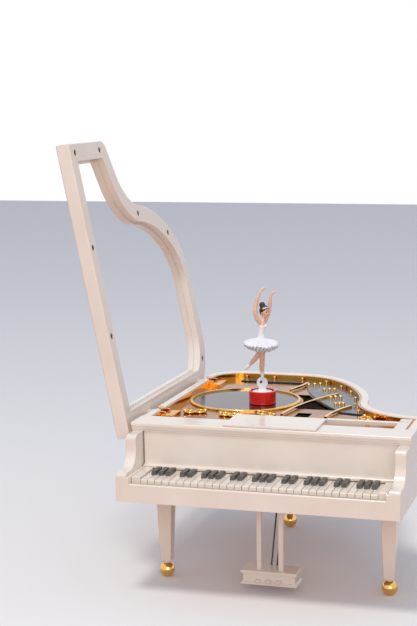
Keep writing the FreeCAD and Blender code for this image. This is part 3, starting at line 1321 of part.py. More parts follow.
def carriage_wheel():
    wheel = gear(STAGE_X, STAGE_Y, WHEEL_LOW, WHEEL_TEETH, GEAR_MODULE, WHEEL_THICKNESS,
                 POST_R + PIN_FIT, 0.0)
    pin = rod(PLANET_X, PLANET_Y, WHEEL_LOW + WHEEL_THICKNESS - 0.5, PLANET_LOW + 2.0, 1.5)
    seat = rod(PLANET_X, PLANET_Y, WHEEL_LOW + WHEEL_THICKNESS - 0.5, PLANET_LOW - MOVING_GAP, 3.0)
    lightening = []
    for index in range(5):
        angle = ORBIT_ANGLE + math.radians(60 * (index + 1))
        lightening.append(rod(STAGE_X + ORBIT_R * 0.85 * math.cos(angle),
                              STAGE_Y + ORBIT_R * 0.85 * math.sin(angle), WHEEL_LOW - 1,
                              WHEEL_LOW + WHEEL_THICKNESS + 1, 4.5))
    return cut(fuse([wheel, pin, seat]), lightening)


def planet_gear():
    body = gear(PLANET_X, PLANET_Y, PLANET_LOW, SUN_TEETH, GEAR_MODULE, PLANET_THICKNESS,
                1.5 + PIN_FIT, ORBIT_START + 180.0 + 180.0 / SUN_TEETH)
    cup = rod(PLANET_X, PLANET_Y, PLANET_LOW + PLANET_THICKNESS - 0.2, STAGE_UNDER - 0.6,
              MAGNET_R + CUP_WALL)
    room = rod(PLANET_X, PLANET_Y, PLANET_LOW + PLANET_THICKNESS + 0.6, STAGE_UNDER,
               MAGNET_R + 0.05)
    return cut(fuse([body, cup]), [room])


def drive_magnet():
    return rod(PLANET_X, PLANET_Y, PLANET_LOW + PLANET_THICKNESS + 0.6, STAGE_UNDER - MOVING_GAP,
               MAGNET_R)


# ---- gather, move the origin, write ----
def make_nodes():
    nodes["case_rim"] = case_rim()
    nodes["bottom_plate"] = bottom_plate()
    nodes["bottom_screws"] = bottom_screws()
    nodes["left_arm"] = arm(-1)
    nodes["right_arm"] = arm(1)
    nodes["front_deck"] = deck()
    nodes["fallboard"] = fallboard()
    nodes["key_slip"] = key_slip()
    nodes["key_bed"] = key_bed()
    nodes["key_blocks"] = key_blocks()
    nodes["white_keys"] = white_keys()
    nodes["black_keys"] = black_keys()
    nodes["music_desk"] = music_desk()
    nodes["desk_brackets"] = desk_brackets()
    nodes["pivot_pins"] = group(desk_pins() + [prop_pin()])
    nodes["prop_stick"] = prop_stick()
    nodes["prop_block"] = prop_block()
    nodes["lid_outer_frame"] = lid_outer_frame()
    nodes["lid_inner_frame"] = lid_inner_frame()
    nodes["lid_screws"] = lid_screws()
    nodes["hinge_lugs"] = hinge_lugs()
    nodes["hinge_blocks"] = hinge_blocks()
    nodes["hinge_pins"] = hinge_pins()
    for name, x, y in leg_places():
        nodes[name] = leg(x, y)
    nodes["ball_feet"] = group([ball_foot(x, y) for name, x, y in leg_places()])
    nodes["leg_screws"] = leg_screws()
    nodes["lyre_posts"] = lyre_posts()
    nodes["pedal_box"] = pedal_box()
    nodes["pedals"] = pedals()
    nodes["brace_rods"] = brace_rods()
    nodes["rim_lining"] = rim_lining()
    nodes["tray_floor"] = tray_floor()
    nodes["stage_ring"] = stage_ring()
    nodes["mirror_disc"] = mirror_disc()
    nodes["harp_plate"] = harp_plate()
    nodes["tuning_pins"] = tuning_pins()
    nodes["plate_studs"] = plate_studs()
    nodes["harp_struts"] = harp_struts()
    nodes["scroll_ornaments"] = scroll_ornaments()
    nodes["dancer_figure"] = dancer_figure()
    nodes["tutu"] = tutu()
    nodes["hair"] = hair()
    nodes["dancer_plinth"] = dancer_plinth()
    nodes["pot"] = pot()
    nodes["pot_magnet"] = pot_magnet()
    nodes["bedplate"] = bedplate()
    nodes["comb"] = comb()
    nodes["comb_screws"] = comb_screws()
    nodes["pinned_cylinder"] = pinned_cylinder()
    nodes["spring_barrel"] = spring_barrel()
    nodes["mainspring"] = mainspring()
    nodes["winding_key"] = winding_key()
    nodes["governor_housing"] = governor_housing()
    nodes["governor_fan"] = governor_fan()
    nodes["centre_post"] = centre_post()
    nodes["carriage_wheel"] = carriage_wheel()
    nodes["planet_gear"] = planet_gear()
    nodes["drive_magnet"] = drive_magnet()


def find_origin():
    whole = Part.makeCompound(list(nodes.values())).optimalBoundingBox(False)
    return Vector((whole.XMin + whole.XMax) / 2, (whole.YMin + whole.YMax) / 2, whole.ZMin)


make_nodes()
ORIGIN = find_origin()
os.makedirs("parts", exist_ok=True)
for node_name, node_shape in nodes.items():
    node_shape.translate(-ORIGIN)
    node_shape.exportStep("parts/" + node_name + ".step")
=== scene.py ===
import math

import bmesh
import bpy
from mathutils import Matrix, Vector, noise


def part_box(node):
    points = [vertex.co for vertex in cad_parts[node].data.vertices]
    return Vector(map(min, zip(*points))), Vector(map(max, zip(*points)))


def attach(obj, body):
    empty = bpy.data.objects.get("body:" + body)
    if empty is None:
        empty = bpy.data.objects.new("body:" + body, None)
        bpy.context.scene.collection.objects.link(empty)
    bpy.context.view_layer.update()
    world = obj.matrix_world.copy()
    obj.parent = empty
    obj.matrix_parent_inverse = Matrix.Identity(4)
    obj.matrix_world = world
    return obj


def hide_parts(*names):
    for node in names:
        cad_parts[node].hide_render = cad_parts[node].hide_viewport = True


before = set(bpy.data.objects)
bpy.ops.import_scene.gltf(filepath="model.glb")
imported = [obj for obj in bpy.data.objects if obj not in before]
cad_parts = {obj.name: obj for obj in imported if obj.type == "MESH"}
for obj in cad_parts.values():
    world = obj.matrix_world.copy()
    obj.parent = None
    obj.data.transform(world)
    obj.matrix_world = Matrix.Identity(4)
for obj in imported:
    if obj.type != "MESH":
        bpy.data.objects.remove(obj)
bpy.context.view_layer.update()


# ---- case: rim, bottom, arms, deck, fallboard ----
# The cabinet is a handful of glossy ivory mouldings: a bent rim with a bottom plate screwed
# into it, two arms, a front deck and a fallboard. The skin has the faint drift of colour and
# the slight waviness of moulded plastic that was polished in the mould.
def set_input(shader, **values):
    """Sets a shader's own sockets by name, with underscores for spaces."""
    for name, value in values.items():
        shader.inputs[name.replace("_", " ")].default_value = value


def speckle(tree, scale, detail, low, high):
    """Noise on the object's own coordinates, remapped to run between two values."""
    place = tree.nodes.new("ShaderNodeTexCoord")
    grain = tree.nodes.new("ShaderNodeTexNoise")
    set_input(grain, Scale=scale, Detail=detail)
    tree.links.new(place.outputs["Object"], grain.inputs["Vector"])
    spread = tree.nodes.new("ShaderNodeMapRange")
    set_input(spread, From_Min=0.3, From_Max=0.7, To_Min=low, To_Max=high)
    tree.links.new(grain.outputs["Fac"], spread.inputs["Value"])
    return spread.outputs["Result"]


def blend_colours(tree, factor, first, second):
    mix = tree.nodes.new("ShaderNodeMix")
    mix.data_type = "RGBA"
    mix.inputs["A"].default_value = (*first, 1)
    mix.inputs["B"].default_value = (*second, 1)
    tree.links.new(factor, mix.inputs["Factor"])
    return mix.outputs["Result"]


def relief(tree, height, depth):
    """A bump of a depth in metres from a height between 0 and 1."""
    bump = tree.nodes.new("ShaderNodeBump")
    set_input(bump, Strength=1.0, Distance=depth)
    tree.links.new(height, bump.inputs["Height"])
    return bump.outputs["Normal"]


def finish(name, light, deep, roughness, wave=(90.0, 0.00001), drift=35.0, **sockets):
    """A finish whose colour drifts between two tones, with a gloss that varies and a slight wave."""
    made = bpy.data.materials.new(name)
    made.use_nodes = True
    tree = made.node_tree
    shader = tree.nodes["Principled BSDF"]
    colour = blend_colours(tree, speckle(tree, drift, 3, 0.0, 1.0), light, deep)
    tree.links.new(colour, shader.inputs["Base Color"])
    tree.links.new(speckle(tree, 260.0, 4, *roughness), shader.inputs["Roughness"])
    tree.links.new(relief(tree, speckle(tree, wave[0], 2, 0.0, 1.0), wave[1]),
                   shader.inputs["Normal"])
    set_input(shader, **sockets)
    return made


def paint(material, *names):
    for name in names:
        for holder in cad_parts[name].material_slots:
            holder.material = material


ivory = finish("moulded_ivory", (0.83, 0.76, 0.69), (0.78, 0.70, 0.62), (0.16, 0.26),
               Specular_IOR_Level=0.5, Coat_Weight=0.35, Coat_Roughness=0.08,
               Subsurface_Weight=0.08, Subsurface_Radius=(0.002, 0.0012, 0.0008))
paint(ivory, "case_rim", "bottom_plate", "left_arm", "right_arm", "front_deck", "fallboard")

steel = finish("bright_zinc", (0.62, 0.62, 0.64), (0.48, 0.48, 0.50), (0.25, 0.42),
               wave=(900.0, 0.000004), Metallic=1.0)
paint(steel, "bottom_screws", "leg_screws", "pivot_pins", "hinge_pins", "comb_screws")

# ---- keyboard ----
# White keys are one moulding with slots between them, on a bed that the slip closes at the
# front. A block fills each end. Black keys are raised on the same strip and printed satin black.
key_white = finish("key_white", (0.86, 0.79, 0.70), (0.80, 0.72, 0.62), (0.18, 0.30),
                   Coat_Weight=0.25, Coat_Roughness=0.1,
                   Subsurface_Weight=0.06, Subsurface_Radius=(0.002, 0.0012, 0.0008))
key_black = finish("key_black", (0.045, 0.043, 0.045), (0.085, 0.075, 0.070), (0.28, 0.45),
                   wave=(700.0, 0.000012), drift=420.0)
paint(ivory, "key_slip", "key_bed", "key_blocks")
paint(key_white, "white_keys")
paint(key_black, "black_keys")

# ---- music desk and prop stick ----
# A thin plate lies on the deck and folds up on two pinned eyes. The prop stick lies behind it
# in a slotted block on the treble side. All of it is the same ivory moulding.
paint(ivory, "music_desk", "desk_brackets", "prop_stick", "prop_block")

# ---- lid ----
# The open lid is a frame in two halves, screwed together from inside, with no pane in its
# window. Bronzed cross-head screws sit in shallow round recesses.
bronze = finish("bronzed_screw", (0.20, 0.13, 0.06), (0.09, 0.06, 0.035), (0.25, 0.45),
                wave=(900.0, 0.000006), Metallic=1.0)
paint(ivory, "lid_outer_frame", "lid_inner_frame", "hinge_lugs")
paint(bronze, "lid_screws")

# ---- legs, feet and pedal lyre ----
# Three tapered legs are screwed up under the bottom plate and end in gold plated balls. The
# lyre is two square posts on a moulded pedal box, with two plated wire braces behind it,
# coloured near black as a painted dark reflection.
plated_foot = finish("plated_foot", (0.86, 0.55, 0.20), (0.78, 0.45, 0.13), (0.05, 0.12),
                     wave=(60.0, 0.000004), Metallic=1.0)
# The braces are plated wire; their near black colour is a painted dark reflection, not their own
# colour.
wire_painted_dark_reflection = finish("wire_painted_dark_reflection", (0.02, 0.02, 0.022), (0.05, 0.05, 0.05), (0.3, 0.5))
paint(ivory, "leg_front_left", "leg_front_right", "leg_rear", "lyre_posts", "pedal_box", "pedals")
paint(plated_foot, "ball_feet")
paint(wire_painted_dark_reflection, "brace_rods")

# ---- gilded inside ----
# The tray, its raised wall and the stage ring are vacuum plated in a bright amber gold. The
# plating is mirror smooth, so it takes its look from what stands round it; the tray floor's
# copy is darkened to a brown gold as a painted dark reflection of its surroundings.
gilt_wall = finish("gilt_wall", (0.78, 0.40, 0.05), (0.62, 0.26, 0.03), (0.10, 0.20),
                   wave=(140.0, 0.00003), Metallic=1.0)
# Same plating as the wall, darkened here: the brown colour is a painted dark reflection.
gilt_floor_painted_dark_reflection = finish("gilt_floor_painted_dark_reflection", (0.42, 0.16, 0.03), (0.24, 0.075, 0.02), (0.08, 0.18),
                    wave=(110.0, 0.00006), drift=55.0, Metallic=1.0)
gilt_bright = finish("gilt_bright", (0.88, 0.58, 0.20), (0.74, 0.42, 0.10), (0.08, 0.16),
                     wave=(200.0, 0.00002), Metallic=1.0)
paint(gilt_wall, "rim_lining", "hinge_blocks")
paint(gilt_floor_painted_dark_reflection, "tray_floor")
paint(gilt_bright, "stage_ring")

# ---- mirror stage ----
# The dancer glides on a dark tinted glass mirror that drops into the ring. Its surface waves
# very slightly, as cheap mirror glass does.
mirror = finish("tinted_mirror", (0.085, 0.060, 0.085), (0.050, 0.035, 0.060), (0.03, 0.10),
                wave=(45.0, 0.000003), Metallic=1.0)
paint(mirror, "mirror_disc")

# ---- harp plate and its fittings ----
# A plated plate follows the bent side, coloured a grey blue as a painted reflection of sky.
# Gilt tuning pins stand in threes, a row of studs follows the rim, three struts cross it, and
# four pairs of curls lie on the tray in front.
# The grey blue here is a painted reflection of sky on the plated plate, not its own colour.
sky_reflection_blue = finish("plate_painted_sky_reflection", (0.030, 0.070, 0.125), (0.020, 0.050, 0.095), (0.14, 0.26),
               wave=(120.0, 0.00002), Metallic=0.75)
paint(sky_reflection_blue, "harp_plate")
paint(gilt_bright, "tuning_pins", "plate_studs", "harp_struts", "scroll_ornaments")

# ---- red pot and drive magnet ----
# The dancer stands in a small red moulded pot with a ferrite magnet under it. The magnet below
# the mirror draws the pot along, and it glides on its rounded lower edge.
red = finish("red_pot", (0.72, 0.012, 0.008), (0.62, 0.008, 0.006), (0.16, 0.26),
             Coat_Weight=0.3, Coat_Roughness=0.1)
ferrite = finish("ferrite", (0.03, 0.03, 0.033), (0.06, 0.055, 0.055), (0.45, 0.6),
                 wave=(1500.0, 0.00001))
paint(red, "pot")
paint(ferrite, "pot_magnet", "drive_magnet")

# ---- dancer: body ----
# A cast figurine, painted by hand: one leg down on the plinth, the other bent back, both arms
# raised. Her face is a calm plain one with painted lids, brows and lips.
MILLIMETRE = 0.001
FACING = math.radians(17.0)          # her side view turns this far from the case's own X
pot_low, pot_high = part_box("pot")
figure_place = (Matrix.Translation(((pot_low.x + pot_high.x) / 2, (pot_low.y + pot_high.y) / 2,
                                    pot_high.z))
                @ Matrix.Rotation(FACING, 4, "Z") @ Matrix.Scale(MILLIMETRE, 4))


def tube(shape, stations, segments=20):
    """Rings round a bent line, bridged and capped. A station is a point and two half widths."""
    rings = []
    last = len(stations) - 1
    for index, (point, wide, deep) in enumerate(stations):
        run = Vector(stations[min(index + 1, last)][0]) - Vector(stations[max(index - 1, 0)][0])
        place = Matrix.Translation(point) @ run.to_track_quat("Z", "Y").to_matrix().to_4x4()
        ring = bmesh.ops.create_circle(shape, segments=segments, radius=1.0,
                                       cap_ends=index in (0, last),
                                       matrix=place @ Matrix.Diagonal((wide, deep, 1, 1)))
        rings.append(ring["verts"])
    for lower, upper in zip(rings, rings[1:]):
        loops = [edge for ring in (lower, upper)
                 for edge in {edge for vert in ring for edge in vert.link_edges}
                 if all(vert in ring for vert in edge.verts)]
        bmesh.ops.bridge_loops(shape, edges=loops)


def ball(shape, centre, half_sizes, turn=Matrix.Identity(4)):
    made = bmesh.ops.create_uvsphere(shape, u_segments=32, v_segments=20, radius=1.0,
                                     matrix=Matrix.Translation(centre) @ turn
                                     @ Matrix.Diagonal((*half_sizes, 1)))
    return made["verts"]


def as_piece(name, shape, body, material, place=Matrix.Identity(4), smooth=True):
    """Puts a finished shape in place as a piece that rides on a body."""
    bmesh.ops.transform(shape, matrix=place, verts=shape.verts)
    bmesh.ops.remove_doubles(shape, verts=shape.verts, dist=1e-7)
    bmesh.ops.recalc_face_normals(shape, faces=shape.faces)
    mesh = bpy.data.meshes.new(name)
    shape.to_mesh(mesh)
    shape.free()
    for face in mesh.polygons:
        face.use_smooth = smooth
    mesh.materials.append(material)
    piece = bpy.data.objects.new(name, mesh)
    bpy.context.scene.collection.objects.link(piece)
    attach(piece, body)
    return piece


def melt_together(shape, voxel, rounds, pull=0.5):
    """Joins overlapping closed forms into one skin and smooths where they meet."""
    mesh = bpy.data.meshes.new("melt")
    shape.to_mesh(mesh)
    holder = bpy.data.objects.new("melt", mesh)
    bpy.context.scene.collection.objects.link(holder)
    remesh = holder.modifiers.new("skin", "REMESH")
    remesh.mode = "VOXEL"
    remesh.voxel_size = voxel
    whole = bpy.data.meshes.new_from_object(
        holder.evaluated_get(bpy.context.evaluated_depsgraph_get()))
    shape.clear()
    shape.from_mesh(whole)
    bpy.data.objects.remove(holder)
    bpy.data.meshes.remove(whole)
    bpy.data.meshes.remove(mesh)
    for _ in range(rounds):
        bmesh.ops.smooth_vert(shape, verts=shape.verts, factor=pull, use_axis_x=True,
                              use_axis_y=True, use_axis_z=True)


# Heights are above the top of the pot, in millimetres.
HIP = 28.0
WAIST = 37.0
HEAD = 51.9
FIGURE_VOXEL = 0.21
body_shape = bmesh.new()
tube(body_shape, [((-0.2, 0.0, 9.8), 0.9, 0.9), ((0.1, -0.1, 11.4), 1.1, 1.1),
                  ((-0.3, 0.0, 14.0), 1.55, 1.6), ((-0.2, 0.1, 16.6), 1.75, 1.8),
                  ((0.0, -0.1, 19.4), 1.6, 1.7), ((-0.1, -0.3, 21.4), 1.8, 1.8),
                  ((-0.2, -0.2, 25.0), 2.3, 2.3), ((-0.2, 0.0, HIP), 2.6, 2.5)])
tube(body_shape, [((-0.3, 1.0, HIP), 2.2, 2.1), ((-1.6, 1.2, 25.0), 2.0, 2.0),
                  ((-3.2, 1.4, 22.4), 1.6, 1.6), ((-4.6, 1.5, 20.6), 1.55, 1.6),
                  ((-6.2, 1.6, 18.9), 1.45, 1.5), ((-7.6, 1.6, 17.3), 1.0, 1.05),
                  ((-8.6, 1.6, 16.2), 1.0, 1.1), ((-9.9, 1.6, 14.9), 0.85, 0.9),
                  ((-11.2, 1.6, 13.6), 0.45, 0.5)])
tube(body_shape, [((-0.3, 0.1, HIP - 1.5), 2.6, 2.6), ((-0.4, 0.1, HIP + 2.5), 3.1, 2.7),
                  ((-0.5, 0.0, WAIST - 2.5), 2.5, 2.2), ((-0.4, 0.0, WAIST), 2.2, 1.9),
                  ((-0.2, 0.0, 40.0), 2.6, 2.2), ((0.0, 0.0, 42.6), 3.1, 2.4),
                  ((0.1, 0.0, 44.4), 3.0, 2.1), ((0.4, 0.0, 45.9), 1.9, 1.5),
                  ((0.9, 0.0, 47.2), 1.15, 1.1), ((1.2, 0.0, 49.0), 1.05, 1.0)])
ball(body_shape, (1.8, -1.2, 42.7), (1.25, 1.2, 1.2))
ball(body_shape, (-0.5, -1.9, 42.7), (1.2, 1.1, 1.2))
tube(body_shape, [((0.2, -0.3, 44.9), 1.3, 1.4), ((-1.8, -1.9, 45.3), 1.5, 1.55),
                  ((-3.1, -2.5, 47.6), 1.5, 1.6), ((-4.2, -3.0, 50.6), 1.4, 1.5),
                  ((-4.5, -3.2, 53.4), 1.35, 1.45), ((-4.1, -3.1, 56.6), 1.25, 1.35),
                  ((-3.1, -2.8, 60.4), 1.1, 1.2), ((-1.9, -2.5, 63.6), 0.85, 0.95),
                  ((-0.9, -2.3, 65.6), 0.62, 0.78)])
tube(body_shape, [((-1.2, -2.35, 65.2), 0.6, 0.75), ((0.0, -2.2, 66.6), 0.5, 0.95),
                  ((1.2, -2.0, 67.3), 0.4, 0.95), ((2.3, -1.9, 67.4), 0.33, 0.6),
                  ((3.2, -1.8, 67.2), 0.22, 0.3)], segments=16)
tube(body_shape, [((0.5, 0.4, 44.9), 1.3, 1.4), ((2.0, 2.2, 45.2), 1.4, 1.5),
                  ((3.4, 3.0, 47.8), 1.4, 1.45), ((4.6, 3.5, 51.0), 1.35, 1.35),
                  ((5.1, 3.6, 54.0), 1.3, 1.35), ((5.4, 3.5, 57.2), 1.15, 1.25),
                  ((5.8, 3.3, 60.2), 0.9, 1.0), ((6.2, 3.1, 62.2), 0.65, 0.8)])
tube(body_shape, [((6.1, 3.15, 61.8), 0.62, 0.75), ((6.8, 2.9, 63.2), 0.55, 0.95),
                  ((7.8, 2.7, 64.0), 0.42, 0.95), ((8.8, 2.5, 64.2), 0.34, 0.6),
                  ((9.6, 2.4, 63.9), 0.22, 0.28)], segments=16)
melt_together(body_shape, FIGURE_VOXEL, 4)
body_piece = as_piece("dancer_body", body_shape, "dancer", None, figure_place)

# ---- dancer: head ----
# The head is modelled by pushing a plain egg into brow, nose, lips and chin, then turned to
# look past her raised hand.
LOOK = math.radians(-40.0)
NOD = math.radians(8.0)
head_turn = (Matrix.Translation((1.6, 0.0, HEAD)) @ Matrix.Rotation(LOOK, 4, "Z")
             @ Matrix.Rotation(NOD, 4, "Y"))
head_shape = bmesh.new()
bmesh.ops.create_uvsphere(head_shape, u_segments=96, v_segments=64, radius=1.0)


def push(shape, centre, reach, shift):
    """Moves what lies near a point, less and less towards the reach."""
    for vert in shape.verts:
        near = max(0.0, 1 - (vert.co - Vector(centre)).length / reach)
        vert.co += Vector(shift) * near * near * (3 - 2 * near)


bmesh.ops.transform(head_shape, matrix=Matrix.Diagonal((3.0, 2.55, 3.7, 1)),
                    verts=head_shape.verts)
push(head_shape, (2.2, 0.0, -3.0), 2.6, (0.55, 0.0, -0.35))          # chin
for side in (-1, 1):
    push(head_shape, (0.6, side * 2.3, -2.4), 2.2, (0.2, -side * 0.55, 0.0))   # jaw
    push(head_shape, (2.6, side * 1.0, -0.1), 0.95, (-0.45, 0.0, 0.0))         # eye hollow
    push(head_shape, (2.4, side * 1.5, -1.3), 1.3, (0.22, side * 0.08, 0.0))   # cheek
    push(head_shape, (2.8, side * 0.95, -0.02), 0.5, (0.26, 0.0, 0.0))         # eyelid
    push(head_shape, (0.0, side * 2.5, -0.5), 0.75, (0.0, side * 0.45, 0.0))   # ear
push(head_shape, (2.9, 0.0, 0.3), 0.7, (0.12, 0.0, 0.0))             # bridge
push(head_shape, (3.0, 0.0, -0.55), 0.75, (0.42, 0.0, 0.0))          # nose
push(head_shape, (3.3, 0.0, -0.8), 0.5, (0.38, 0.0, -0.05))          # nose tip
push(head_shape, (2.9, 0.0, -1.62), 0.55, (0.24, 0.0, 0.0))          # upper lip
push(head_shape, (2.85, 0.0, -2.0), 0.5, (0.22, 0.0, 0.0))           # lower lip
push(head_shape, (2.9, 0.0, -1.8), 0.22, (-0.12, 0.0, 0.0))          # between the lips
head_piece = as_piece("dancer_head", head_shape, "dancer", None, figure_place @ head_turn)
skin = finish("painted_skin", (0.84, 0.56, 0.42), (0.78, 0.48, 0.34), (0.38, 0.5),
              wave=(1400.0, 0.000006), drift=160.0,
              Subsurface_Weight=0.1, Subsurface_Radius=(0.0012, 0.0005, 0.0003))
for piece in (body_piece, head_piece):
    piece.data.materials[0] = skin
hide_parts("dancer_figure")

eye_paint = finish("eye_paint", (0.03, 0.015, 0.012), (0.06, 0.03, 0.02), (0.3, 0.4))
lip_paint = finish("lip_paint", (0.62, 0.12, 0.10), (0.55, 0.09, 0.08), (0.3, 0.4))


def painted_mark(name, spots, material):
    """Thin raised dabs of paint on the face, each a flat bead at a point."""
    dabs = bmesh.new()
    for point, half_sizes, lean in spots:
        ball(dabs, point, half_sizes, Matrix.Rotation(lean, 4, "X"))
    return as_piece(name, dabs, "dancer", material, figure_place @ head_turn)


painted_mark("dancer_eyes", [((2.72, side * 0.95, -0.06), (0.14, 0.42, 0.13), side * 0.12)
                             for side in (-1, 1)]
             + [((2.80, side * 1.0, 0.62), (0.10, 0.52, 0.07), -side * 0.18)
                for side in (-1, 1)], eye_paint)
painted_mark("dancer_lips", [((3.06, 0.0, -1.66), (0.10, 0.48, 0.12), 0.0),
                             ((3.03, 0.0, -1.95), (0.10, 0.40, 0.13), 0.0)], lip_paint)

# ---- dancer: bodice, straps and shoes ----
# The bodice is a thin coat of white over the trunk, with two narrow straps. The shoes are
# white slippers with a ribbon turned round the ankle.
dress = finish("dress_white", (0.87, 0.88, 0.90), (0.80, 0.81, 0.85), (0.35, 0.5),
               wave=(900.0, 0.00001))
bodice = bmesh.new()
tube(bodice, [((-0.4, 0.1, HIP + 1.5), 3.3, 2.9), ((-0.5, 0.0, WAIST - 2.5), 2.7, 2.4),
              ((-0.4, 0.0, WAIST), 2.4, 2.1), ((-0.2, 0.0, 40.0), 2.8, 2.4),
              ((0.0, 0.0, 42.4), 3.25, 2.6), ((0.1, 0.0, 43.3), 3.1, 2.4)], segments=32)
ball(bodice, (1.85, -1.25, 42.6), (1.45, 1.35, 1.25))
ball(bodice, (-0.5, -2.0, 42.6), (1.4, 1.25, 1.25))
melt_together(bodice, FIGURE_VOXEL, 3)
bodice_piece = as_piece("dancer_bodice", bodice, "dancer", dress, figure_place)

slippers = bmesh.new()
tube(slippers, [((-8.3, 1.6, 16.5), 1.15, 1.2), ((-9.1, 1.6, 15.7), 1.15, 1.2),
                ((-10.1, 1.6, 14.7), 0.98, 1.02), ((-11.5, 1.6, 13.3), 0.5, 0.55)])
for height in (18.2, 17.4):
    lean = Vector((-7.0 - (18.2 - height), 1.6, height))
    bmesh.ops.create_cone(slippers, cap_ends=True, segments=24, radius1=1.22, radius2=1.22,
                          depth=0.35, matrix=Matrix.Translation(lean)
                          @ Matrix.Rotation(math.radians(45), 4, "Y"))
tube(slippers, [((-0.2, 0.0, 9.6), 1.15, 1.15), ((0.1, -0.1, 11.0), 1.3, 1.3),
                ((0.0, 0.0, 12.4), 1.35, 1.35)])
melt_together(slippers, FIGURE_VOXEL, 2)
as_piece("dancer_slippers", slippers, "dancer", dress, figure_place)

# ---- dancer: tutu ----
# The skirt is a stiff plate of pleated net on a pointed yoke: a top layer with radial pleats
# and three shorter layers under it, which dip in front and lift a little behind.
PLEATS = 30
net = finish("net_white", (0.88, 0.90, 0.93), (0.76, 0.79, 0.85), (0.4, 0.55),
             wave=(2600.0, 0.00002), drift=300.0)


def skirt_layer(shape, profile, pleat_depth, phase):
    """Spins a radial profile and works pleats into it that grow towards the hem."""
    verts = [shape.verts.new((radius, 0, height)) for radius, height in profile]
    edges = [shape.edges.new(pair) for pair in zip(verts, verts[1:])]
    bmesh.ops.spin(shape, geom=verts + edges, cent=(0, 0, 0), axis=(0, 0, 1),
                   angle=2 * math.pi, steps=PLEATS * 8, use_merge=True)
    for vert in shape.verts:
        if vert.tag:
            continue
        vert.tag = True
        around = math.atan2(vert.co.y, vert.co.x)
        out = math.hypot(vert.co.x, vert.co.y) / profile[-1][0]
        ripple = math.sin(PLEATS * around + phase)
        flutter = noise.noise(Vector((math.cos(around) * 2, math.sin(around) * 2, phase)))
        lift = 0.9 * math.sin(around - 0.5) * out ** 2
        vert.co.z += pleat_depth * ripple * out ** 1.5 + 0.6 * flutter * out ** 2 + lift
        stretch = 1 + 0.012 * ripple * out + 0.03 * flutter * out
        vert.co.x *= stretch
        vert.co.y *= stretch


tutu = bmesh.new()
skirt_layer(tutu, [(2.2, HIP + 6.8), (3.2, HIP + 6.2), (5.0, HIP + 5.6), (7.5, HIP + 5.0),
                   (10.0, HIP + 4.0), (11.9, HIP + 2.8)], 0.42, 0.0)
skirt_layer(tutu, [(2.4, HIP + 4.6), (5.0, HIP + 3.6), (8.0, HIP + 2.6), (11.2, HIP + 1.7)],
            0.5, 2.1)
skirt_layer(tutu, [(2.4, HIP + 2.6), (4.5, HIP + 1.6), (7.0, HIP + 0.8), (9.4, HIP + 0.4)],
            0.5, 4.0)
skirt_layer(tutu, [(2.4, HIP + 0.4), (4.0, HIP - 0.4), (6.4, HIP - 0.9)], 0.4, 1.0)
tutu_piece = as_piece("dancer_tutu", tutu, "dancer", net,
                      figure_place @ Matrix.Translation((-0.6, 0, 0)))
thickness = tutu_piece.modifiers.new("net_thickness", "SOLIDIFY")
thickness.thickness = 0.22 * MILLIMETRE
thickness.offset = 0.0
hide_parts("tutu")

# ---- dancer: hair and tiara ----
# Dark hair is drawn back over the ears into a high coiled bun. A silvered tiara with five
# points sits in front of it.
hair_shape = bmesh.new()
ball(hair_shape, (-0.35, 0.0, 0.55), (3.25, 2.95, 3.75))
bmesh.ops.bisect_plane(hair_shape, geom=hair_shape.verts[:] + hair_shape.edges[:]
                       + hair_shape.faces[:], plane_co=(1.15, 0, 0.9),
                       plane_no=(0.78, 0, -0.62), clear_outer=True)
bmesh.ops.bisect_plane(hair_shape, geom=hair_shape.verts[:] + hair_shape.edges[:]
                       + hair_shape.faces[:], plane_co=(0, 0, -1.9),
                       plane_no=(0.25, 0, -1), clear_outer=True)
bmesh.ops.holes_fill(hair_shape, edges=hair_shape.edges[:])
BUN = (-2.3, 0.0, 3.9)
BUN_REACH = 2.8              # strands turn with the bun as far as this from its middle
HAIR_VOXEL = 0.16
STRAND_DEPTH = 0.09
ball(hair_shape, BUN, (2.0, 2.1, 1.9))
melt_together(hair_shape, HAIR_VOXEL, 3)
for vert in hair_shape.verts:
    from_bun = vert.co - Vector(BUN)
    if from_bun.length < BUN_REACH:
        swirl = math.sin(4 * math.atan2(from_bun.y, from_bun.x) + 2.6 * from_bun.z)
    else:
        swirl = math.sin(9 * vert.co.y + 1.5 * vert.co.x)
    vert.co += from_bun.normalized() * STRAND_DEPTH * swirl
hair_paint = finish("hair_paint", (0.010, 0.005, 0.005), (0.05, 0.018, 0.012), (0.22, 0.38),
                    wave=(1800.0, 0.00002), drift=700.0)
hair_piece = as_piece("dancer_hair", hair_shape, "dancer", hair_paint,
                      figure_place @ head_turn)
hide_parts("hair")

TIARA_R = 2.95
TIARA_POINTS = 5
tiara = bmesh.new()
band = bmesh.ops.create_circle(tiara, segments=48, radius=TIARA_R)
band_edges = list({edge for vert in band["verts"] for edge in vert.link_edges})
raised = bmesh.ops.extrude_edge_only(tiara, edges=band_edges)
for vert in [item for item in raised["geom"] if isinstance(item, bmesh.types.BMVert)]:
    around = math.atan2(vert.co.y, vert.co.x)
    peak = abs(math.sin(TIARA_POINTS * around)) ** 0.5
    vert.co.z += 0.75 + 1.15 * (1 - peak) * max(0.0, math.cos(around))
    vert.co.x *= 1.06
    vert.co.y *= 1.06
bmesh.ops.bisect_plane(tiara, geom=tiara.verts[:] + tiara.edges[:] + tiara.faces[:],
                       plane_co=(0.1, 0, 0), plane_no=(-1, 0, 0), clear_outer=True)
silver = finish("silvered", (0.80, 0.82, 0.86), (0.62, 0.65, 0.72), (0.18, 0.35),
                wave=(2400.0, 0.00004), Metallic=0.9)
tiara_piece = as_piece("dancer_tiara", tiara, "dancer", silver,
                       figure_place @ head_turn @ Matrix.Translation((0.25, 0.0, 1.75))
                       @ Matrix.Rotation(math.radians(-22), 4, "Y"))
tiara_thickness = tiara_piece.modifiers.new("plate", "SOLIDIFY")
tiara_thickness.thickness = 0.28 * MILLIMETRE
tiara_thickness.offset = 0.0

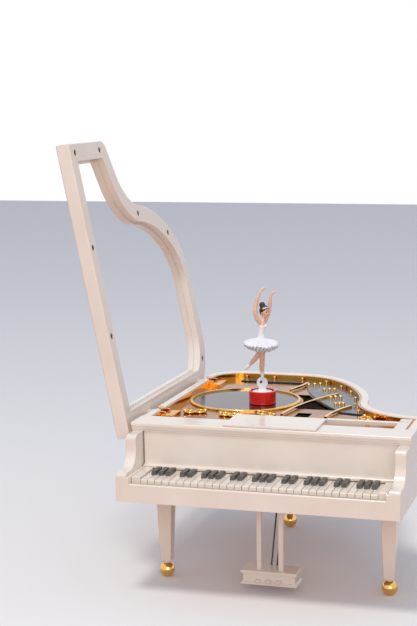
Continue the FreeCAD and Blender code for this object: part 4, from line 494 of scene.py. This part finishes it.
# ---- dancer: plinth ----
# A white cast disc lies in the pot. From it rises a thick round loop with a small hole, and
# her toe is cast into its top.
DISC_R = 6.5
LOOP_R = 3.6
LOOP_HOLE_R = 0.85
PLINTH_VOXEL = 0.2
plinth = bmesh.new()
bmesh.ops.create_cone(plinth, cap_ends=True, segments=64, radius1=DISC_R, radius2=DISC_R,
                      depth=1.6, matrix=Matrix.Translation((0, 0, -1.3)))
tube(plinth, [((0.0, 0.0, -1.2), 5.2, 2.6), ((0.0, 0.0, -0.4), 3.4, 1.8),
              ((0.0, 0.0, 0.8), 2.5, 1.2), ((0.0, 0.0, 2.6), 2.6, 1.1)], segments=32)
bmesh.ops.create_cone(plinth, cap_ends=True, segments=48, radius1=LOOP_R, radius2=LOOP_R,
                      depth=2.0, matrix=Matrix.Translation((-0.1, 0, 5.0))
                      @ Matrix.Rotation(math.pi / 2, 4, "X"))
tube(plinth, [((0.0, 0.0, 6.5), 2.4, 1.0), ((0.0, 0.0, 8.6), 1.7, 1.0),
              ((-0.1, 0.0, 10.2), 1.25, 1.1)], segments=32)
melt_together(plinth, PLINTH_VOXEL, 4)
hole_cutter = bmesh.new()
bmesh.ops.create_cone(hole_cutter, cap_ends=True, segments=32, radius1=LOOP_HOLE_R,
                      radius2=LOOP_HOLE_R, depth=6.0, matrix=Matrix.Translation((-0.9, 0, 5.5))
                      @ Matrix.Diagonal((1, 1, 1.35, 1)) @ Matrix.Rotation(math.pi / 2, 4, "X"))
cutter_mesh = bpy.data.meshes.new("hole_cutter")
hole_cutter.to_mesh(cutter_mesh)
hole_cutter.free()
cutter_mesh.transform(figure_place)
cutter = bpy.data.objects.new("hole_cutter", cutter_mesh)
bpy.context.scene.collection.objects.link(cutter)
plinth_piece = as_piece("dancer_plinth_cast", plinth, "dancer", dress,
                        figure_place)
opening = plinth_piece.modifiers.new("eye", "BOOLEAN")
opening.object = cutter
opening.solver = "EXACT"
pierced = bpy.data.meshes.new_from_object(
    plinth_piece.evaluated_get(bpy.context.evaluated_depsgraph_get()))
plinth_piece.modifiers.clear()
plinth_piece.data = pierced
bpy.data.objects.remove(cutter)
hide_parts("dancer_plinth")

# ---- movement ----
# Under the tray: a comb and pinned cylinder on a cast bedplate, a spring barrel that drives
# both the cylinder and the carriage, and a closed governor with a fan.
zinc = finish("cast_zinc", (0.36, 0.36, 0.34), (0.26, 0.26, 0.25), (0.4, 0.6),
              wave=(700.0, 0.00003), Metallic=0.8)
brass = finish("turned_brass", (0.62, 0.42, 0.13), (0.50, 0.32, 0.09), (0.2, 0.35),
               wave=(1500.0, 0.000008), Metallic=1.0)
comb_steel = finish("spring_steel", (0.40, 0.42, 0.46), (0.30, 0.31, 0.34), (0.22, 0.36),
                    wave=(1200.0, 0.000005), Metallic=1.0)
acetal = finish("white_acetal", (0.78, 0.76, 0.70), (0.70, 0.68, 0.61), (0.35, 0.5))
paint(zinc, "bedplate", "governor_housing", "centre_post")
paint(brass, "pinned_cylinder", "spring_barrel", "winding_key")
paint(comb_steel, "comb", "mainspring")
paint(acetal, "governor_fan", "carriage_wheel", "planet_gear")

# ---- stage: floor, light and camera ----
# Not part of the object: a plain pale floor, soft studio lamps and the view.
FLOOR_REACH = 3.0
floor_mesh = bpy.data.meshes.new("floor")
sheet = bmesh.new()
bmesh.ops.create_grid(sheet, x_segments=1, y_segments=1, size=FLOOR_REACH)
sheet.to_mesh(floor_mesh)
sheet.free()
floor = bpy.data.objects.new("floor", floor_mesh)
bpy.context.scene.collection.objects.link(floor)


def seen_directly(tree):
    """1 for what the camera sees straight, in a gloss or through glass, and 0 for other light."""
    path = tree.nodes.new("ShaderNodeLightPath")
    total = path.outputs["Is Camera Ray"]
    for name in ("Is Glossy Ray", "Is Transmission Ray"):
        either = tree.nodes.new("ShaderNodeMath")
        either.operation = "MAXIMUM"
        tree.links.new(total, either.inputs[0])
        tree.links.new(path.outputs[name], either.inputs[1])
        total = either.outputs["Value"]
    return total


floor_paint = bpy.data.materials.new("floor_paint")
floor_paint.use_nodes = True
floor_tree = floor_paint.node_tree
floor_shader = floor_tree.nodes["Principled BSDF"]
floor_colour = blend_colours(floor_tree, seen_directly(floor_tree), (0.62, 0.40, 0.30),
                             (0.86, 0.86, 0.86))
floor_tree.links.new(floor_colour, floor_shader.inputs["Base Color"])
set_input(floor_shader, Roughness=0.9, Specular_IOR_Level=0.1)
floor.data.materials.append(floor_paint)

world = bpy.data.worlds.new("studio")
bpy.context.scene.world = world
world.use_nodes = True
world_tree = world.node_tree
background = world_tree.nodes["Background"]
sky = blend_colours(world_tree, seen_directly(world_tree), (0.50, 0.52, 0.60), (1.0, 1.0, 1.0))
world_tree.links.new(sky, background.inputs["Color"])
set_input(background, Strength=1.0)


def softbox(name, place, target, size, power, colour):
    lamp = bpy.data.lights.new(name, "AREA")
    lamp.shape = "RECTANGLE"
    lamp.size, lamp.size_y = size
    lamp.energy = power
    lamp.color = colour
    holder = bpy.data.objects.new(name, lamp)
    holder.location = place
    aim = Vector(target) - Vector(place)
    holder.rotation_euler = aim.to_track_quat("-Z", "Y").to_euler()
    bpy.context.scene.collection.objects.link(holder)


softbox("key_light", (-0.15, -0.75, 1.75), (0, 0, 0.08), (0.35, 0.35), 14.0, (1.0, 0.95, 0.88))
softbox("front_fill", (0.5, -1.4, 0.5), (0, 0, 0.08), (0.9, 0.7), 6.0, (1.0, 0.93, 0.86))

CAMERA_PLACE = (0.2485, -0.9195, 0.3001)
CAMERA_AZIMUTH = math.radians(17.16)
CAMERA_ELEVATION = math.radians(8.37)
CAMERA_ROLL = math.radians(-0.72)
CAMERA_LENS = 86.9
view = bpy.data.cameras.new("camera")
view.lens = CAMERA_LENS
view.clip_start = 0.01
camera = bpy.data.objects.new("camera", view)
turn = (Matrix.Rotation(CAMERA_AZIMUTH, 4, "Z")
        @ Matrix.Rotation(math.pi / 2 - CAMERA_ELEVATION, 4, "X")
        @ Matrix.Rotation(CAMERA_ROLL, 4, "Z"))
camera.matrix_world = Matrix.Translation(CAMERA_PLACE) @ turn
bpy.context.scene.collection.objects.link(camera)
bpy.context.scene.camera = camera
bpy.context.scene.view_settings.view_transform = "Standard"
